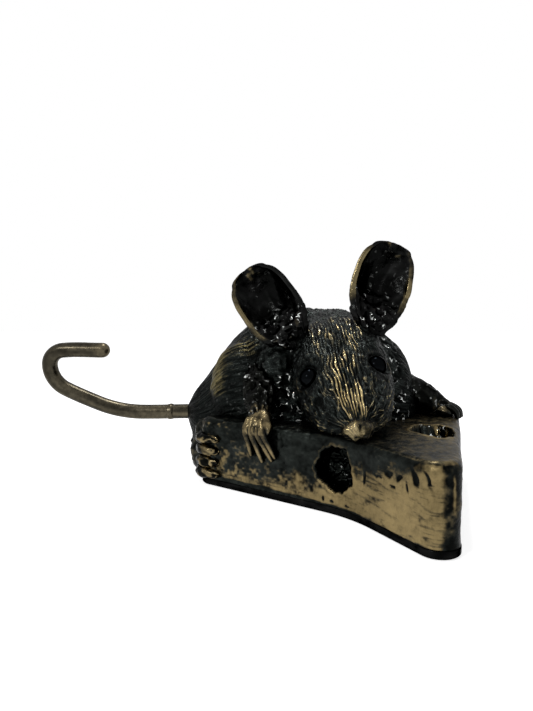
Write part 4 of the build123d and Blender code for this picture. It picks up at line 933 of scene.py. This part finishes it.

# Tail. A brass rod bent cold into a hook, sunk in the rump, olive-brown patina rubbed thin in patches and at its
# round end; a braze bead near the rump.
def tail_skin():
    """A round bar along straight runs joined by arcs: each arc leaves its corner's two runs at the same distance and
    turns from one to the other about one middle."""
    corners = np.array([-62.54, 42.23, 20.79]) + np.array(
        [(10.0, 0, 0), (-27.3, 0, -0.49), (-53.0, -2.4, 11.56), (-53.0, -6.0, 24.6), (-29.7, -6.0, 24.6)])
    path = [corners[:1], corners[:1] + 0.4 * (corners[1:2] - corners[:1])]
    for before, corner, after, share in zip(corners, corners[1:], corners[2:], (0.36, 0.48, 0.48)):
        back, on = before - corner, after - corner
        taken = share * min(np.linalg.norm(back), np.linalg.norm(on))
        back, on = back / np.linalg.norm(back), on / np.linalg.norm(on)
        half = np.arccos(back @ on) / 2
        middle = corner + (back + on) / np.linalg.norm(back + on) * taken / np.cos(half)
        start, end = corner + taken * back - middle, corner + taken * on - middle
        turn, t = np.pi - 2 * half, np.linspace(0, 1, 9)[:, None]
        path.append(middle + (np.sin((1 - t) * turn) * start + np.sin(t * turn) * end) / np.sin(turn))
    path = np.concatenate(path + [corners[-1:] - (2.2, 0, 0)])
    bar = limb(path, np.full(len(path), 2.9), (0, 1, 0), 260, 48)
    rows = np.linspace(0, 1, len(bar))[:, None]
    turn = circle(48)
    about = turn / (2 * np.pi)
    worn = wander(rows * 8, about * 11, 131, 11) + 0.3 * wander(rows * 50, about * 16, 132, 16)
    rubbed = np.clip(0.3 + 0.25 * worn + 0.5 * ease(rows, 0.93, 0.99), 0, 1)
    marks = {"rubbed": rubbed, "raised": 0.5 + 0.3 * worn, "gloss": 0.3 + 0 * rubbed}
    return bar + (0.05 * worn)[..., None] * outward(bar), marks


def bead_ring():
    """A lumpy ring round the rod: circles about its run, whose radius swells and falls back over the bead's
    length."""
    start = np.array([-68.04, 42.23, 20.58])
    along = np.linspace(0, 1, 40)[:, None]
    turn = circle(60)
    radius = 2.8 + 0.42 * np.sin(np.pi * along) ** 0.6 + 0.08 * wander(along * 3, turn / (2 * np.pi) * 7, 141, 7)
    rings = start + np.stack([-2.6 * along + 0 * turn, radius * np.cos(turn), radius * np.sin(turn) - 0.04 * along], -1)
    return rings, plain(rings, 0.4, 0.6, 0.5)


tail_olive = bronze(
    "tail_olive", (0.035, 0.031, 0.022), (0.105, 0.088, 0.056), grain=700.0, fray=0.35, pitted=0.00008, sheen=0.7)
for name, node_name, shell in (("tail_rod", "tail", tail_skin()), ("braze_bead", "tail_collar", bead_ring())):
    piece = skin(name, shell)
    piece.data.materials.append(tail_olive)
    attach(piece, "root")
    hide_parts(node_name)

# Floor, light and camera. A white floor that keeps the shadow, a pale sky, two soft lamps above, and the camera low
# in front, close to the figure.
def shown_rays(tree):
    """1 for rays from the camera and those off or through shiny surfaces, 0 for the rays that light the object."""
    rays = node(tree, "ShaderNodeLightPath").outputs
    shiny = node(
        tree, "ShaderNodeMath", {0: rays["Is Glossy Ray"], 1: rays["Is Transmission Ray"]}, operation="MAXIMUM")
    shown = node(tree, "ShaderNodeMath", {0: rays["Is Camera Ray"], 1: shiny.outputs[0]}, operation="MAXIMUM")
    return shown.outputs[0]


floor_mesh = bpy.data.meshes.new("floor")
floor_mesh.from_pydata([(-4, -4, 0), (4, -4, 0), (4, 4, 0), (-4, 4, 0)], [], [(0, 1, 2, 3)])
floor = bpy.data.objects.new("floor", floor_mesh)
bpy.context.scene.collection.objects.link(floor)
paper = bpy.data.materials.new("white_paper")
paper.use_nodes = True
tree = paper.node_tree
shader = tree.nodes["Principled BSDF"]
shader.inputs["Base Color"].default_value = (0.9, 0.9, 0.9, 1)
shader.inputs["Roughness"].default_value = 0.7
lift = node(tree, "ShaderNodeMath", {0: shown_rays(tree), 1: 0.72}, operation="MULTIPLY")
shader.inputs["Emission Color"].default_value = (1, 1, 1, 1)
tree.links.new(lift.outputs[0], shader.inputs["Emission Strength"])
floor_mesh.materials.append(paper)

world = bpy.data.worlds.new("pale_sky")
bpy.context.scene.world = world
world.use_nodes = True
tree = world.node_tree
sky = tree.nodes["Background"]
strength = node(tree, "ShaderNodeMapRange", {"Value": shown_rays(tree), "To Min": 0.4, "To Max": 1.0})
tree.links.new(strength.outputs[0], sky.inputs["Strength"])
sky.inputs["Color"].default_value = (1, 1, 1, 1)

for name, place, aim, size, power in (
    ("top_lamp", (-0.03, 0.12, 0.48), (-0.01, 0.0, 0.03), 0.07, 1.3),
    ("front_lamp", (-0.3, -0.3, 0.3), (-0.01, 0.0, 0.03), 0.05, 0.6),
):
    data = bpy.data.lights.new(name, "AREA")
    data.size, data.energy = size, power
    lamp = bpy.data.objects.new(name, data)
    lamp.location = place
    lamp.rotation_euler = (lamp.location - type(lamp.location)(aim)).to_track_quat("Z", "Y").to_euler()
    bpy.context.scene.collection.objects.link(lamp)

view = bpy.data.cameras.new("camera")
view.lens, view.sensor_width, view.clip_start = 27.04, 36.0, 0.01
camera = bpy.data.objects.new("camera", view)
camera.location = (-0.031, -0.17, 0.0551)
look_down = 3.27
camera.rotation_euler = (np.radians(90 - look_down), 0, 0)
bpy.context.scene.collection.objects.link(camera)
bpy.context.scene.camera = camera
bpy.context.scene.view_settings.view_transform = "Standard"
